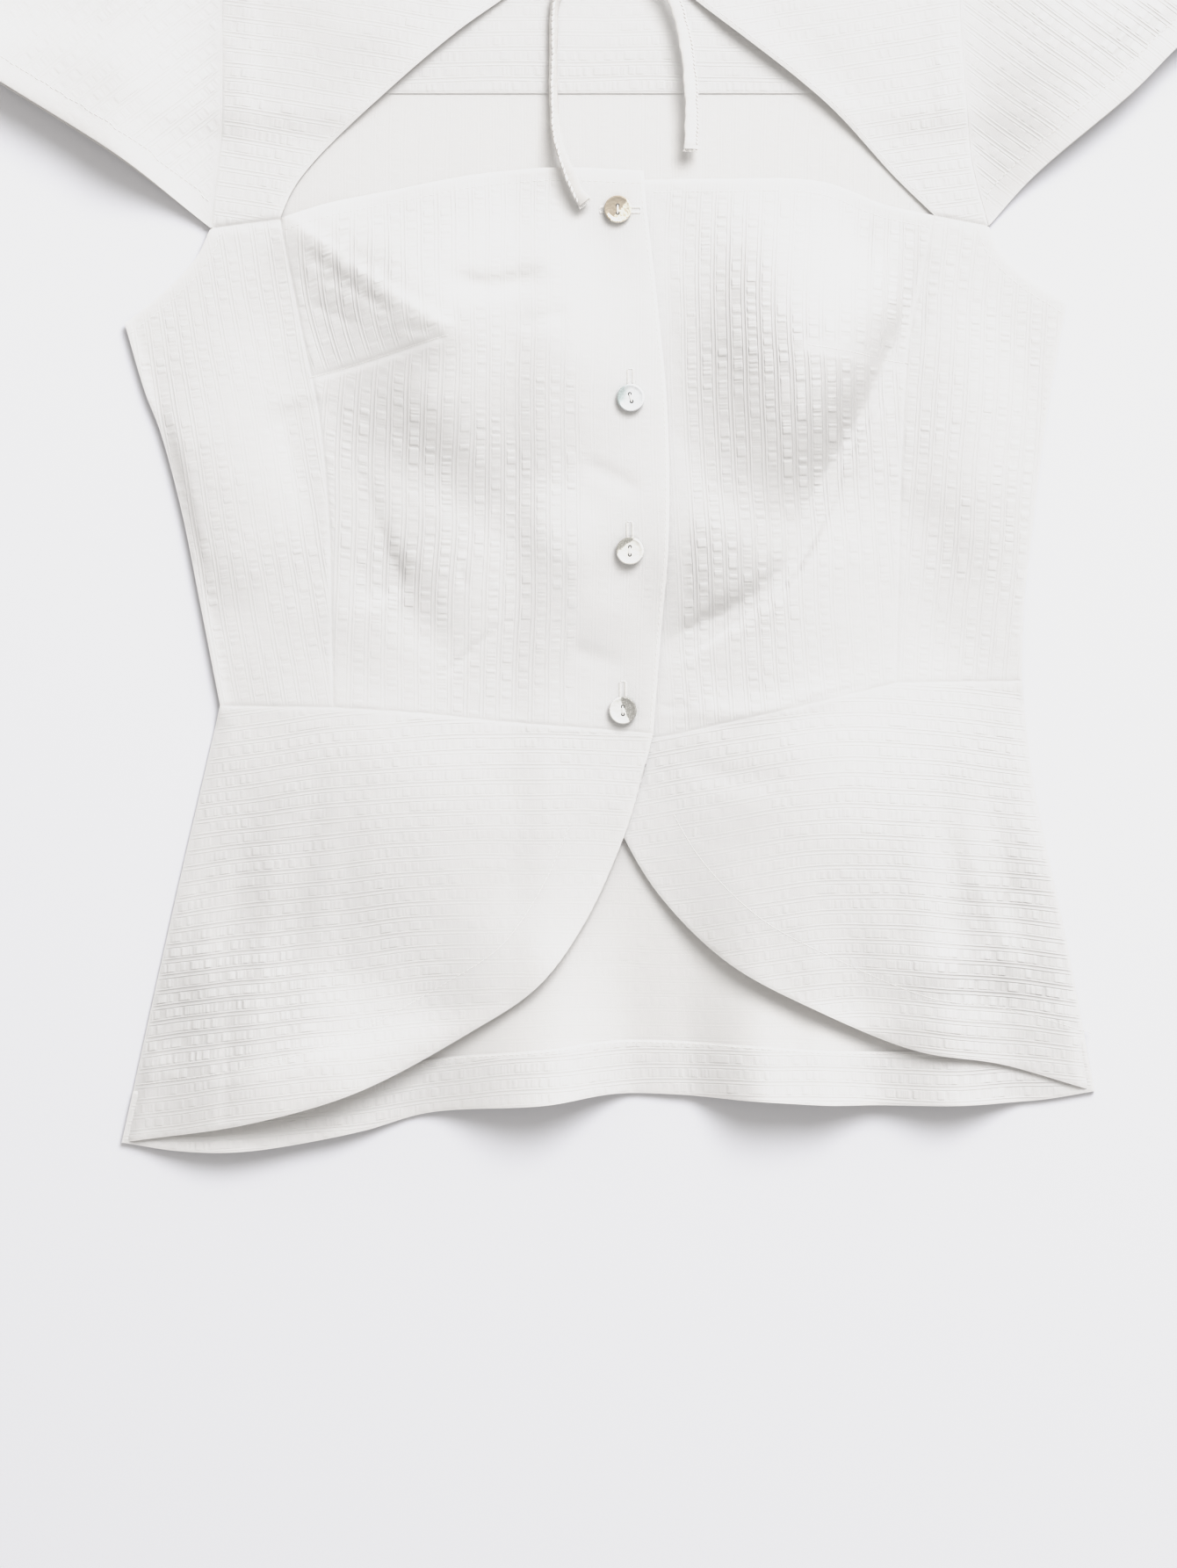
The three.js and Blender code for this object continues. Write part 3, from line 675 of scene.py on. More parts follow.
class Bench:
    """The node tree of one material, and the one way that its nodes are made."""

    def __init__(self, name: str) -> None:
        """Start a material whose tree is empty.

        Args:
            name: the material's name.
        """
        self.material = bpy.data.materials.new(name)
        self.material.use_nodes = True
        self.tree = self.material.node_tree
        self.tree.nodes.clear()

    def node(self, kind: str, settings: dict[str, object] | None = None,
             sockets: dict[str | int, object] | None = None, output: str | int = 0) -> Term:
        """Make a node.

        Args:
            kind: the node's type.
            settings: its own settings, set first; "stops" holds a ramp's places and colours.
            sockets: values, or terms to link, by input name or number.
            output: the output that is wanted.

        Returns:
            A term on that output.
        """
        node = self.tree.nodes.new(kind)
        for key, value in (settings or {}).items():
            if key == "stops":
                for _ in range(len(value) - 2):
                    node.color_ramp.elements.new(0.5)
                for element, (place, colour) in zip(node.color_ramp.elements, value):
                    element.position, element.color = place, colour
            else:
                setattr(node, key, value)
        for key, value in (sockets or {}).items():
            if isinstance(value, Term):
                self.tree.links.new(value.socket, node.inputs[key])
            else:
                node.inputs[key].default_value = value
        return Term(self, node.outputs[output])

    def noise(self, place: Term, scale: float, detail: float = 2.0, dimensions: str = "3D") -> Term:
        """Noise from 0 to 1 at a place."""
        return self.node("ShaderNodeTexNoise", {"noise_dimensions": dimensions},
                         {"Vector": place, "Scale": scale, "Detail": detail})

    def bump(self, height: Term, distance: float, strength: float = 1.0) -> Term:
        """Normal bent by a height, of so many metres for each 1."""
        return self.node("ShaderNodeBump", None, {
            "Strength": strength, "Distance": distance, "Height": height})

    def mix_colours(self, share: Term | float, first: object, second: object) -> Term:
        """Colour between two colours."""
        return self.node("ShaderNodeMix", {"data_type": "RGBA"}, {0: share, 6: first, 7: second}, 2)

    def finish(self, shader: Term) -> bpy.types.Material:
        """Join the shader to the material's output.

        Args:
            shader: what the surface shows.

        Returns:
            The material.
        """
        end = self.tree.nodes.new("ShaderNodeOutputMaterial")
        self.tree.links.new(shader.socket, end.inputs["Surface"])
        return self.material


Colour = tuple[float, float, float, float]


def tint(red: float, green: float, blue: float) -> Colour:
    """A colour of linear red, green and blue."""
    return (red, green, blue, 1.0)


@dataclass(frozen=True)
class CrinkledCotton:
    """White cotton with pairs of raised cords and puckered strips between them, and painted shade in the
    hollows of that relief.

    The piece's own map "Cloth" gives, in metres, the distance across the cords and along them, and its
    attribute "crinkle" says how strongly the cloth is crinkled and how much painted shade its hollows get.
    """

    name: str
    colour: Colour
    # painted shade: the colour that the hollows between cords and puckers take
    hollow_shade: Colour
    relief: float = 1.0  # strength of cords and puckers
    pitch: float = 7.0
    cord_apart: float = 0.85
    cord_height: float = 0.16
    pucker_height: float = 0.26
    pucker_length: float = 3.1
    roughness: float = 0.86
    sheerness: float = 0.32  # share of the light that passes through
    seen_through: Colour = (0.95, 0.925, 0.895, 1.0)

    def make(self) -> bpy.types.Material:
        """Build the material.

        Formula of the height: two narrow rounded cords beside each multiple of the pitch, plus, between
        them, noise stretched across the strip and unlike from strip to strip, plus a fine weave.

        Returns:
            The material.
        """
        bench = Bench(self.name)
        place = bench.node("ShaderNodeUVMap", {"uv_map": "Cloth"})
        split = {axis: bench.node("ShaderNodeSeparateXYZ", None, {0: place}, axis) for axis in (0, 1)}
        across, along = split[0] * 1000.0, split[1] * 1000.0
        crinkle = bench.node("ShaderNodeAttribute", {"attribute_name": "crinkle"}, None, "Fac")
        wander = bench.noise(place, 14.0, 1.0, "2D")
        strip = across / self.pitch + wander * 0.5
        off_cord = abs((strip + 0.5).fraction() - 0.5) * self.pitch
        cords = abs(off_cord - self.cord_apart).rise(0.62, 0.05)
        inside = off_cord.rise(self.cord_apart + 0.3, self.cord_apart + 1.1)
        number = strip.floor()
        bar_place = bench.node("ShaderNodeCombineXYZ", None, {
            0: number * 7.31 + off_cord * 0.02, 1: along / self.pucker_length + wander * 1.5})
        bars = bench.noise(bar_place, 1.0, 1.5, "2D").rise(0.3, 0.7)
        patches = bench.noise(place, 55.0, 2.0, "2D").rise(0.32, 0.62, 0.45, 1.15)
        thread = bench.noise(bench.node("ShaderNodeCombineXYZ", None, {0: across, 1: along * 1.4}),
                             1.7, 3.0, "2D")
        puckers = inside * bars * patches
        height = ((cords * self.cord_height + puckers * self.pucker_height) * (crinkle * self.relief)
                  + thread * 0.05)
        bump = bench.bump(height, MM)
        # painted shade: where the relief is low the colour goes towards the hollows' darker one, and more so
        # where the cloth is more crinkled
        level = cords * 0.5 + puckers
        hollow_shaded = bench.mix_colours(level.rise(0.0, 0.8), self.hollow_shade, self.colour)
        colour = bench.mix_colours(crinkle.rise(0.7, 1.6), self.colour, hollow_shaded)
        face = bench.node("ShaderNodeBsdfPrincipled", None, {
            "Base Color": colour, "Roughness": self.roughness, "Specular IOR Level": 0.15,
            "Sheen Weight": 0.08, "Sheen Roughness": 0.5, "Normal": bump})
        through = bench.node("ShaderNodeBsdfTranslucent", None, {"Color": self.seen_through})
        return bench.finish(bench.node("ShaderNodeMixShader", None, {
            0: self.sheerness, 1: face, 2: through}))


@dataclass(frozen=True)
class Thread:
    """Plain white sewing thread, twisted."""

    name: str
    colour: Colour

    def make(self) -> bpy.types.Material:
        """Build the material: a soft matt white with a fine twist of noise.

        Returns:
            The material.
        """
        bench = Bench(self.name)
        place = bench.node("ShaderNodeTexCoord", None, None, "Object")
        twist = bench.noise(place, 2600.0, 1.0)
        bump = bench.bump(twist, 0.1 * MM, 0.5)
        colour = bench.mix_colours(twist, tint(*(c * 0.94 for c in self.colour[:3])), self.colour)
        return bench.finish(bench.node("ShaderNodeBsdfPrincipled", None, {
            "Base Color": colour, "Roughness": 0.6, "Sheen Weight": 0.2, "Normal": bump}))


@dataclass(frozen=True)
class RiverShell:
    """Polished river shell: a pale ground with a clouded painted reflection on one side, under a gloss.

    Formula of the painted reflection: a smooth step of the distance along one bearing from the button's
    middle, broken up by noise.
    """

    name: str
    ground: Colour
    painted_reflection: Colour
    bearing: float  # degrees, towards the painted reflection
    start: float  # millimetres from the middle
    spread: float = 1.2
    break_up: float = 4.0
    flecks: float = 0.3  # share of the ground in the painted reflection's flecks

    def make(self, middle: tuple[float, float]) -> bpy.types.Material:
        """Build the material for a button whose middle is given, in millimetres.

        Args:
            middle: X and Y of the button, in millimetres.

        Returns:
            The material.
        """
        bench = Bench(self.name)
        place = bench.node("ShaderNodeTexCoord", None, None, "Object")
        x, y = (bench.node("ShaderNodeSeparateXYZ", None, {0: place}, axis) * 1000.0 for axis in (0, 1))
        angle = math.radians(self.bearing)
        towards = (x - middle[0]) * math.cos(angle) + (y - middle[1]) * math.sin(angle)
        clouds = bench.noise(place, 420.0, 3.0)
        edge = towards + (clouds - 0.5) * self.break_up
        # painted reflection: how much of it shows at each place
        share = edge.rise(self.start - self.spread, self.start + self.spread)
        growth = bench.node("ShaderNodeTexWave", {"wave_type": "RINGS"}, {
            "Vector": place, "Scale": 150.0, "Distortion": 9.0, "Detail": 3.0, "Detail Scale": 2.0}, 1)
        ground = bench.mix_colours(growth * 0.14, self.ground, self.painted_reflection)
        flecks = bench.noise(place, 1500.0, 2.0).rise(0.5, 0.6) * self.flecks
        colour = bench.mix_colours(share, ground, bench.mix_colours(flecks, self.painted_reflection, self.ground))
        bump = bench.bump(clouds * 0.6 + growth * 0.15, 0.2 * MM, 0.35)
        return bench.finish(bench.node("ShaderNodeBsdfPrincipled", None, {
            "Base Color": colour, "Roughness": clouds.rise(0.3, 0.7, 0.18, 0.32),
            "Specular IOR Level": 0.65, "Coat Weight": 0.6, "Coat Roughness": 0.08, "Normal": bump}))


# ---- meshes ------------------------------------------------------------------------------------


def seated(name: str, mesh: bpy.types.Mesh, materials: Sequence[bpy.types.Material],
           sharp: float) -> bpy.types.Object:
    """Stand a mesh in the scene, smooth-shaded and riding on the frame's one body.

    Args:
        name: the piece's name.
        mesh: its mesh, in metres.
        materials: finishes, in the order of their slots.
        sharp: edges that turn by more than this many degrees are crisp.

    Returns:
        The object, at the origin.
    """
    for material in materials:
        mesh.materials.append(material)
    mesh.shade_smooth()
    mesh.set_sharp_from_angle(angle=math.radians(sharp))
    thing = bpy.data.objects.new(name, mesh)
    bpy.context.scene.collection.objects.link(thing)
    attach(thing, "root")
    return thing


def stand(name: str, points: Array, faces: Array, materials: Sequence[bpy.types.Material],
          sharp: float = 50.0) -> bpy.types.Object:
    """Make a smooth-shaded object of points in millimetres.

    Args:
        name: the piece's name.
        points: one row for each vertex.
        faces: one row of vertex numbers for each face.
        materials: finishes, in the order of their slots.
        sharp: edges that turn by more than this many degrees are crisp.

    Returns:
        The object, at the origin.
    """
    mesh = bpy.data.meshes.new(name)
    mesh.from_pydata(np.asarray(points) * MM, [], np.asarray(faces).tolist())
    return seated(name, mesh, materials, sharp)


def set_map(thing: bpy.types.Object, places: Array) -> None:
    """Give a mesh its map "Cloth", in metres, from millimetres at each vertex.

    Args:
        thing: the piece.
        places: distances across the cords and along them at each vertex.
    """
    mesh = thing.data
    corners = np.zeros(len(mesh.loops), int)
    mesh.loops.foreach_get("vertex_index", corners)
    layer = mesh.uv_layers.new(name="Cloth")
    layer.data.foreach_set("uv", (places[corners] * MM).astype(np.float32).ravel())


def set_number(thing: bpy.types.Object, name: str, values: Array) -> None:
    """Give each vertex of a mesh a named number."""
    attribute = thing.data.attributes.new(name, "FLOAT", "POINT")
    attribute.data.foreach_set("value", values.astype(np.float32).ravel())


def volume_of(points: Array, faces: Array) -> float:
    """Signed volume inside quads, by the sum of their corners' triple products."""
    a, b, c, d = (points[faces[:, k]] for k in range(4))
    return float((np.einsum("ij,ij->i", a, np.cross(b, c)) + np.einsum("ij,ij->i", a, np.cross(c, d))).sum())


def shell_faces(columns: int, rows: int) -> tuple[Array, Array]:
    """Quads of a closed shell of two grids, and a number for each: 0 upper, 1 lower, 2 rim.

    The upper grid's vertices come first, column by column, and then the lower grid's.

    Args:
        columns: vertices along the first side of each grid.
        rows: vertices along the second side.

    Returns:
        The quads, and the number of each.
    """
    number = np.arange(columns * rows).reshape(columns, rows)
    under = number + columns * rows
    top = np.stack([number[:-1, :-1], number[1:, :-1], number[1:, 1:], number[:-1, 1:]], -1).reshape(-1, 4)
    low = (top + columns * rows)[:, ::-1]
    ring = np.concatenate([number[:, 0], number[-1, 1:], number[-2::-1, -1], number[0, -2:0:-1]])
    below = np.concatenate([under[:, 0], under[-1, 1:], under[-2::-1, -1], under[0, -2:0:-1]])
    rim = np.stack([ring, below, np.roll(below, -1), np.roll(ring, -1)], -1)
    kinds = np.repeat([0, 1, 2], [len(top), len(low), len(rim)])
    return np.concatenate([top, low, rim]), kinds


def grid_normals(grid: Array) -> Array:
    """Unit normals of a grid of points: the cross product of its two slopes."""
    across = np.cross(np.gradient(grid, axis=0), np.gradient(grid, axis=1))
    return across / np.maximum(np.linalg.norm(across, axis=2, keepdims=True), 1e-9)


@dataclass
class Wardrobe:
    """The finishes of the blouse, each made once."""

    ribbed: bpy.types.Material = field(init=False)
    plain: bpy.types.Material = field(init=False)
    rolled_with_painted_shade: bpy.types.Material = field(init=False)
    thread: bpy.types.Material = field(init=False)

    def __post_init__(self) -> None:
        """Make the two faces of the cloth, a darker copy of it whose colour is painted shade for the rolled
        tie, and the thread.
        """
        # the second colour of each finish is painted shade for the hollows of its relief
        self.ribbed = CrinkledCotton("crinkled cotton", tint(0.955, 0.957, 0.96),
                                     tint(0.885, 0.885, 0.886)).make()
        self.plain = CrinkledCotton("crinkled cotton, smooth face", tint(0.968, 0.966, 0.962),
                                    tint(0.945, 0.94, 0.932), relief=0.22).make()
        # the same cotton made darker: painted shade of the rolled tie
        self.rolled_with_painted_shade = CrinkledCotton("crinkled cotton, rolled", tint(0.85, 0.842, 0.832),
                                     tint(0.79, 0.78, 0.765)).make()
        self.thread = Thread("sewing thread", tint(0.88, 0.87, 0.855)).make()

    def faces(self, up: Face) -> list[bpy.types.Material]:
        """Finishes of the upper and lower face of a piece."""
        return [self.ribbed, self.plain] if up is Face.RIGHT_SIDE else [self.plain, self.ribbed]


def cloth_shell(name: str, node: str, middle: Array, grain: Array, crinkle: Array, up: Face,
                wardrobe: Wardrobe) -> bpy.types.Object:
    """Make a thin closed shell of cloth about a grid of points.

    Formula: each point moved half the cloth's thickness along the grid's normal, up and down, with a
    rim of quads round the four sides.

    Args:
        name: the piece's name.
        node: the frame's node that it stands for.
        middle: grid of points at half thickness.
        grain: distance across and along the ribs at each point.
        crinkle: strength of the crinkle at each point, which also sets the painted shade in its hollows.
        up: the face that lies upwards.
        wardrobe: the finishes.

    Returns:
        The piece.
    """
    columns, rows = middle.shape[:2]
    lift = grid_normals(middle) * CLOTH / 2
    if lift[:, : rows // 4, 2].mean() < 0:
        middle, lift, grain, crinkle = middle[::-1], -lift[::-1], grain[::-1], crinkle[::-1]
    points = np.concatenate([(middle + lift).reshape(-1, 3), (middle - lift).reshape(-1, 3)])
    faces, kinds = shell_faces(columns, rows)
    if volume_of(points, faces) < 0:
        faces = faces[:, ::-1]
    thing = stand(name, points, faces, wardrobe.faces(up))
    rim = 0 if up is Face.RIGHT_SIDE else 1
    thing.data.polygons.foreach_set("material_index", np.where(kinds == 2, rim, kinds).astype(np.int32))
    set_map(thing, np.tile(grain.reshape(-1, 2), (2, 1)))
    set_number(thing, "crinkle", np.tile(crinkle.ravel(), 2))
    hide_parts(node)
    return thing


def repeated(shape: Array, shape_faces: Array, middles: Array, along: Array,
             up: Array) -> tuple[Array, Array]:
    """Copies of one small shape, each turned to its own directions.

    Formula: point = middle + x * along + y * (up x along) + z * up.

    Args:
        shape: the shape's points.
        shape_faces: its faces.
        middles: where each copy lies.
        along: the direction of each copy's X.
        up: the direction of each copy's Z.

    Returns:
        All points and all faces.
    """
    side = np.cross(up, along)
    axes = np.stack([along, side, up], axis=1)
    points = middles[:, None] + np.einsum("pk,nkc->npc", shape, axes)
    faces = shape_faces[None] + (np.arange(len(middles)) * len(shape))[:, None, None]
    return points.reshape(-1, 3), faces.reshape(-1, shape_faces.shape[1])


def ring_quads(rings: int, sides: int) -> Array:
    """Quads between rings of points that are numbered ring by ring.

    Args:
        rings: how many rings there are.
        sides: points of a ring.

    Returns:
        One row of vertex numbers for each quad.
    """
    k = np.arange(sides)
    return np.concatenate([np.stack([
        j * sides + k, j * sides + (k + 1) % sides, (j + 1) * sides + (k + 1) % sides,
        (j + 1) * sides + k], 1) for j in range(rings - 1)])


def cap_quads(first: int, sides: int) -> Array:
    """Quads across one ring of an even number of points, strip by strip."""
    a = np.arange(sides // 2 - 1)
    return np.stack([first + a, first + a + 1, first + sides - 2 - a, first + sides - 1 - a], 1)


def lozenge(length: float, radius: float, sides: int = 6) -> tuple[Array, Array]:
    """A stitch: a small rounded length of thread along X, of five rings.

    Formula: the ring at x has the radius times the square root of 1 - (2 x / length)^4.

    Args:
        length: from end to end.
        radius: at its middle.
        sides: points of a ring.

    Returns:
        Points and faces.
    """
    stations = np.array([-0.5, -0.42, 0.0, 0.42, 0.5]) * length
    girth = radius * np.array([0.25, 0.8, 1.0, 0.8, 0.25])
    turn = np.linspace(0, 2 * math.pi, sides, endpoint=False)
    ring = np.stack([np.zeros(sides), np.cos(turn), np.sin(turn)], 1)
    points = (ring[None] * girth[:, None, None] + np.stack(
        [stations, np.zeros(5), -0.35 * np.abs(stations) / length * radius], 1)[:, None]).reshape(-1, 3)
    return points, np.concatenate([
        ring_quads(5, sides)[:, ::-1], cap_quads(0, sides), cap_quads(4 * sides, sides)[:, ::-1]])


# ---- pieces of cloth -----------------------------------------------------------------------------


@dataclass(frozen=True)
class Calm:
    """A strip along a line where a facing or turning holds the cloth smoother."""

    line: tuple[str, ...]
    width: float
    left_over: float = 0.3  # share of the crinkle that stays
    blend: tuple[float, float] = (-2.0, 3.0)  # from the strip's edge, where the crinkle comes back

    def __call__(self, x: Array, y: Array) -> Array:
        """Share of the crinkle at each place: left_over in the strip, and 1 away from it.

        Args:
            x: X of the places.
            y: Y of the places.

        Returns:
            The shares.
        """
        start, end = (self.width + off for off in self.blend)
        return self.left_over + (1 - self.left_over) * ramp(distance_to(seam(*self.line), x, y), start, end)


@dataclass(frozen=True)
class StitchRow:
    """A row of stitches beside a line: how far in from it, and how far apart."""

    line: tuple[str, ...]
    inset: float
    step: float = STITCH_STEP
    share: tuple[float, float] = (0.01, 0.99)
    fullness: float = 0.78  # length of a stitch over the step


@dataclass
class Panel:
    """A flat-cut piece of cloth between four seam routes, lying on a height function."""

    node: str
    bottom: tuple[str, ...]
    top: tuple[str, ...]
    start: tuple[str, ...]
    end: tuple[str, ...]
    level: Height
    grain: Grain
    cut: tuple[float, float]  # width and length of the flat piece, in metres
    area: float  # of the flat piece, in square metres
    rests_on: str | None = None
    up: Face = Face.RIGHT_SIDE
    cell: float = 1.6
    calm: tuple[Calm, ...] = ()
    stitches: tuple[StitchRow, ...] = ()
    closed_along: tuple[str, ...] = ()  # edges that are sewn down to the layer below
    edge_roll: float = 0.22

    def places(self) -> Array:
        """Grid of X and Y between the four routes (a Coons patch).

        Formula: bottom and top mixed by t, plus start and end mixed by s, less the four corners mixed by
        both. Rows and columns crowd near the edges.

        Returns:
            The grid, whose last axis holds X and Y.
        """
        low, high, first, last = (seam(*route) for route in (self.bottom, self.top, self.start, self.end))
        s = self.fractions((length_of(low) + length_of(high)) / 2)
        t = self.fractions(max(length_of(first), length_of(last)))
        low, high, first, last = (spaced(line, f) for line, f in ((low, s), (high, s), (first, t), (last, t)))
        s, t = s[:, None, None], t[None, :, None]
        corners = ((1 - s) * (1 - t) * low[0] + s * (1 - t) * low[-1]
                   + (1 - s) * t * high[0] + s * t * high[-1])
        return (low[:, None] * (1 - t) + high[:, None] * t + first[None] * (1 - s) + last[None] * s - corners)

    def fractions(self, length: float) -> Array:
        """Fractions of a side: close together at its ends, and a cell apart between.

        Args:
            length: of the side.

        Returns:
            Fractions from 0 to 1.
        """
        close = np.array(EDGE_ROWS) / length
        inner = np.linspace(close[-1], 1 - close[-1], max(3, round(length / self.cell)))
        return np.concatenate([close[:-1], inner, 1 - close[-2::-1]])

    def build(self, wardrobe: Wardrobe) -> bpy.types.Object:
        """Make the piece and its stitches.

        Args:
            wardrobe: the finishes.

        Returns:
            The piece.
        """
        grid = self.places()
        x, y = grid[..., 0], grid[..., 1]
        middle = np.stack([x, y, self.middle(x, y)], axis=-1)
        border = np.concatenate([grid[:, 0], grid[-1], grid[::-1, -1], grid[0, ::-1]])
        edge = distance_to(border, x, y)
        middle[..., 2] -= self.edge_roll * (1 - ramp(edge, 0, EDGE_ROWS[-1]))
        crinkle = 0.8 + Unevenness(31, 34, 0.2)(x, y)
        if self.up is Face.RIGHT_SIDE:
            crinkle *= DRAPE.crinkled(x, y)
        for strip in self.calm:
            crinkle *= strip(x, y)
        crinkle *= ramp(edge, 0.4, 2.0)
        thing = cloth_shell(self.node + "_cloth", self.node, middle, np.stack(self.grain(x, y), -1),
                            crinkle, self.up, wardrobe)
        rows = [self.stitch_row(row, number, wardrobe) for number, row in enumerate(self.stitches, 1)]
        LOG.info("%s: %d vertices, %d rows of stitches", thing.name, len(thing.data.vertices), len(rows))
        return thing

    def middle(self, x: Array, y: Array) -> Array:
        """Height of the middle of the cloth, brought down at the edges that are sewn to the layer below.

        Formula: level + half a wall, less the height over the layer below times a smooth fall over
        SEWN_REACH.

        Args:
            x: X of the places.
            y: Y of the places.

        Returns:
            Heights over the surface.
        """
        z = self.level(x, y) + WALL / 2
        for name in self.closed_along:
            under = DRAPE.inner(x, y) + WALL / 2 + CLOTH
            fall = 1 - ramp(distance_to(seam(name), x, y), 0, SEWN_REACH)
            z = z - (z - under) * fall**1.5
        return z

    def stitch_row(self, row: StitchRow, number: int, wardrobe: Wardrobe) -> bpy.types.Object:
        """Make one row of stitches on the upper face.

        Args:
            row: where the stitches run.
            number: the row's number on this piece.
            wardrobe: the finishes.

        Returns:
            The row.
        """
        line = seam(*row.line)
        count = max(6, round(length_of(line) / row.step))
        at = spaced(line, np.linspace(row.share[0], row.share[1], count))
        along = heading(at)
        inward = np.stack([-along[:, 1], along[:, 0]], 1)
        grid = self.places().reshape(-1, 2)
        probe = [nearest(grid[::5], *(at + sign * inward * 5).T).sum() for sign in (1, -1)]
        at = at + inward * row.inset * (1 if probe[0] <= probe[1] else -1)
        z, ahead = (self.middle(*place.T) + CLOTH / 2 - STITCH_SINK for place in (at, at + along))
        run = unit(np.concatenate([along, (ahead - z)[:, None]], 1))
        points, faces = repeated(*lozenge(row.step * row.fullness, 0.2), np.column_stack([at, z]), run,
                                 upright(run))
        return stand(f"{self.node}_stitches_{number}", points, faces, [wardrobe.thread])


# ---- sleeves -------------------------------------------------------------------------------------


@dataclass
class CapSleeve:
    """A cap sleeve lying double, folded along its top edge, with its mouth a little open."""

    side: Side
    hem_lift: float
    crown: float
    grain: Grain
    cut: tuple[float, float]
    area: float
    fold_steps: int = 9
    fold_reach: float = 0.6  # of the fold past the top edge, over its half height
    hem_band: float = 10.0
    hem_crinkle: float = 0.45  # share of the crinkle that stays in the hem band
    gathers: float = 0.9  # height of the gathers beside the seam

    def build(self, wardrobe: Wardrobe) -> bpy.types.Object:
        """Make the sleeve and its hem stitches.

        Formula: the front layer leaves the level of the yoke at its seam for two layers and a puff, the
        back layer lies on the surface, and a half circle joins them past the top edge.

        Args:
            wardrobe: the finishes.

        Returns:
            The sleeve.
        """
        tag = self.side.value
        node = f"sleeve_{tag}"
        flat = Panel(node, (f"sleeve_hem_{tag}",), (f"sleeve_top_{tag}",), (f"sleeve_seam_{tag}",),
                     (f"sleeve_tip_{tag}",), DRAPE.front, self.grain, self.cut, self.area, cell=2.0)
        grid = flat.places()
        x, y = grid[..., 0], grid[..., 1]
        low, high, first = (seam(*route) for route in (flat.bottom, flat.top, flat.start))
        s = flat.fractions((length_of(low) + length_of(high)) / 2)[:, None]
        t = flat.fractions(length_of(first))[None]
        free = smooth(s / 0.35) * (1 - 0.45 * smooth((s - 0.8) / 0.2))
        front_z = self.front_height(x, y, s, t, free) + WALL / 2
        back_z = 0.25 * self.hem_lift * free * (1 - t) ** 3 + WALL / 2
        front = np.stack([x, y, front_z], -1)
        back = np.stack([x, y, back_z], -1)
        towards = unit(grid[:, -1] - grid[:, -4])
        turn = np.linspace(0, math.pi, self.fold_steps + 2)[None, 1:-1]
        radius = (front_z[:, -1:] - back_z[:, -1:]) / 2
        reach = self.fold_reach * radius * np.sin(turn)
        bend = np.concatenate([
            grid[:, -1][:, None] + towards[:, None] * reach[..., None],
            ((front_z[:, -1:] + back_z[:, -1:]) / 2 + radius * np.cos(turn))[..., None]], axis=-1)
        middle = np.concatenate([front, bend, back[:, ::-1]], axis=1)
        hem = distance_to(low, x, y)
        joint = distance_to(first, x, y)
        in_band = self.hem_crinkle + (1 - self.hem_crinkle) * ramp(hem, self.hem_band - 2, self.hem_band + 2)
        crinkle = (0.8 + Unevenness(32, 30, 0.2)(x, y)) * in_band
        crinkle = crinkle * DRAPE.crinkled(x, y) * ramp(joint, 0.4, 2.5)
        crinkle = np.concatenate([crinkle, np.repeat(crinkle[:, -1:], self.fold_steps, 1),
                                  crinkle[:, ::-1]], 1)
        plan = middle[..., :2]
        cloth_map = np.stack(self.grain(plan[..., 0], plan[..., 1]), -1)
        thing = cloth_shell(node + "_cloth", node, middle, cloth_map, crinkle, Face.RIGHT_SIDE, wardrobe)
        rows = [self.hem_stitches(front, hem, wardrobe)]
        LOG.info("%s: %d vertices", thing.name, len(thing.data.vertices))
        return thing

    def front_height(self, x: Array, y: Array, s: Array, t: Array, free: Array) -> Array:
        """Level of the front layer: the yoke's at the seam, and a puff that falls to the fold.

        Args:
            x: X of the places.
            y: Y of the places.
            s: share of the way from the seam to the tip.
            t: share of the way from the mouth to the fold.
            free: how far the sleeve has left the yoke's level, from 0 to 1.

        Returns:
            Heights over the surface.
        """
        puff = (self.hem_lift * (1 - t) ** 1.5
                + self.crown * np.sin(math.pi * t**0.8) * (1 - s * 0.5)
                + self.gathers * np.sin(5.5 * math.pi * t + 1.2) * np.exp(-s * 3.0) * smooth(s / 0.06))
        ripple = sum(part(x, y) for part in DRAPE.ripples)
        return DRAPE.front(x, y) * (1 - free) + free * (LAYER * 2 + puff + ripple)

    def hem_stitches(self, front: Array, hem: Array, wardrobe: Wardrobe) -> bpy.types.Object:
        """A row of stitches on the front layer, one hem band in from the mouth.

        Args:
            front: grid of the front layer.
            hem: distance of each of its points from the mouth.
            wardrobe: the finishes.

        Returns:
            The row.
        """
        row = np.abs(hem - self.hem_band).argmin(axis=1)
        line = front[np.arange(len(front)), row][3:-3] + UP * (CLOTH / 2 + 0.05)
        at = spaced(line, np.linspace(0.01, 0.93, round(length_of(line) / STITCH_STEP)))
        run = heading(at)
        points, faces = repeated(*lozenge(2.2, 0.24), at, run, upright(run))
        return stand(f"sleeve_{self.side.value}_hem_stitches", points, faces, [wardrobe.thread])


# ---- neck binding, knot and ties ------------------------------------------------------------------


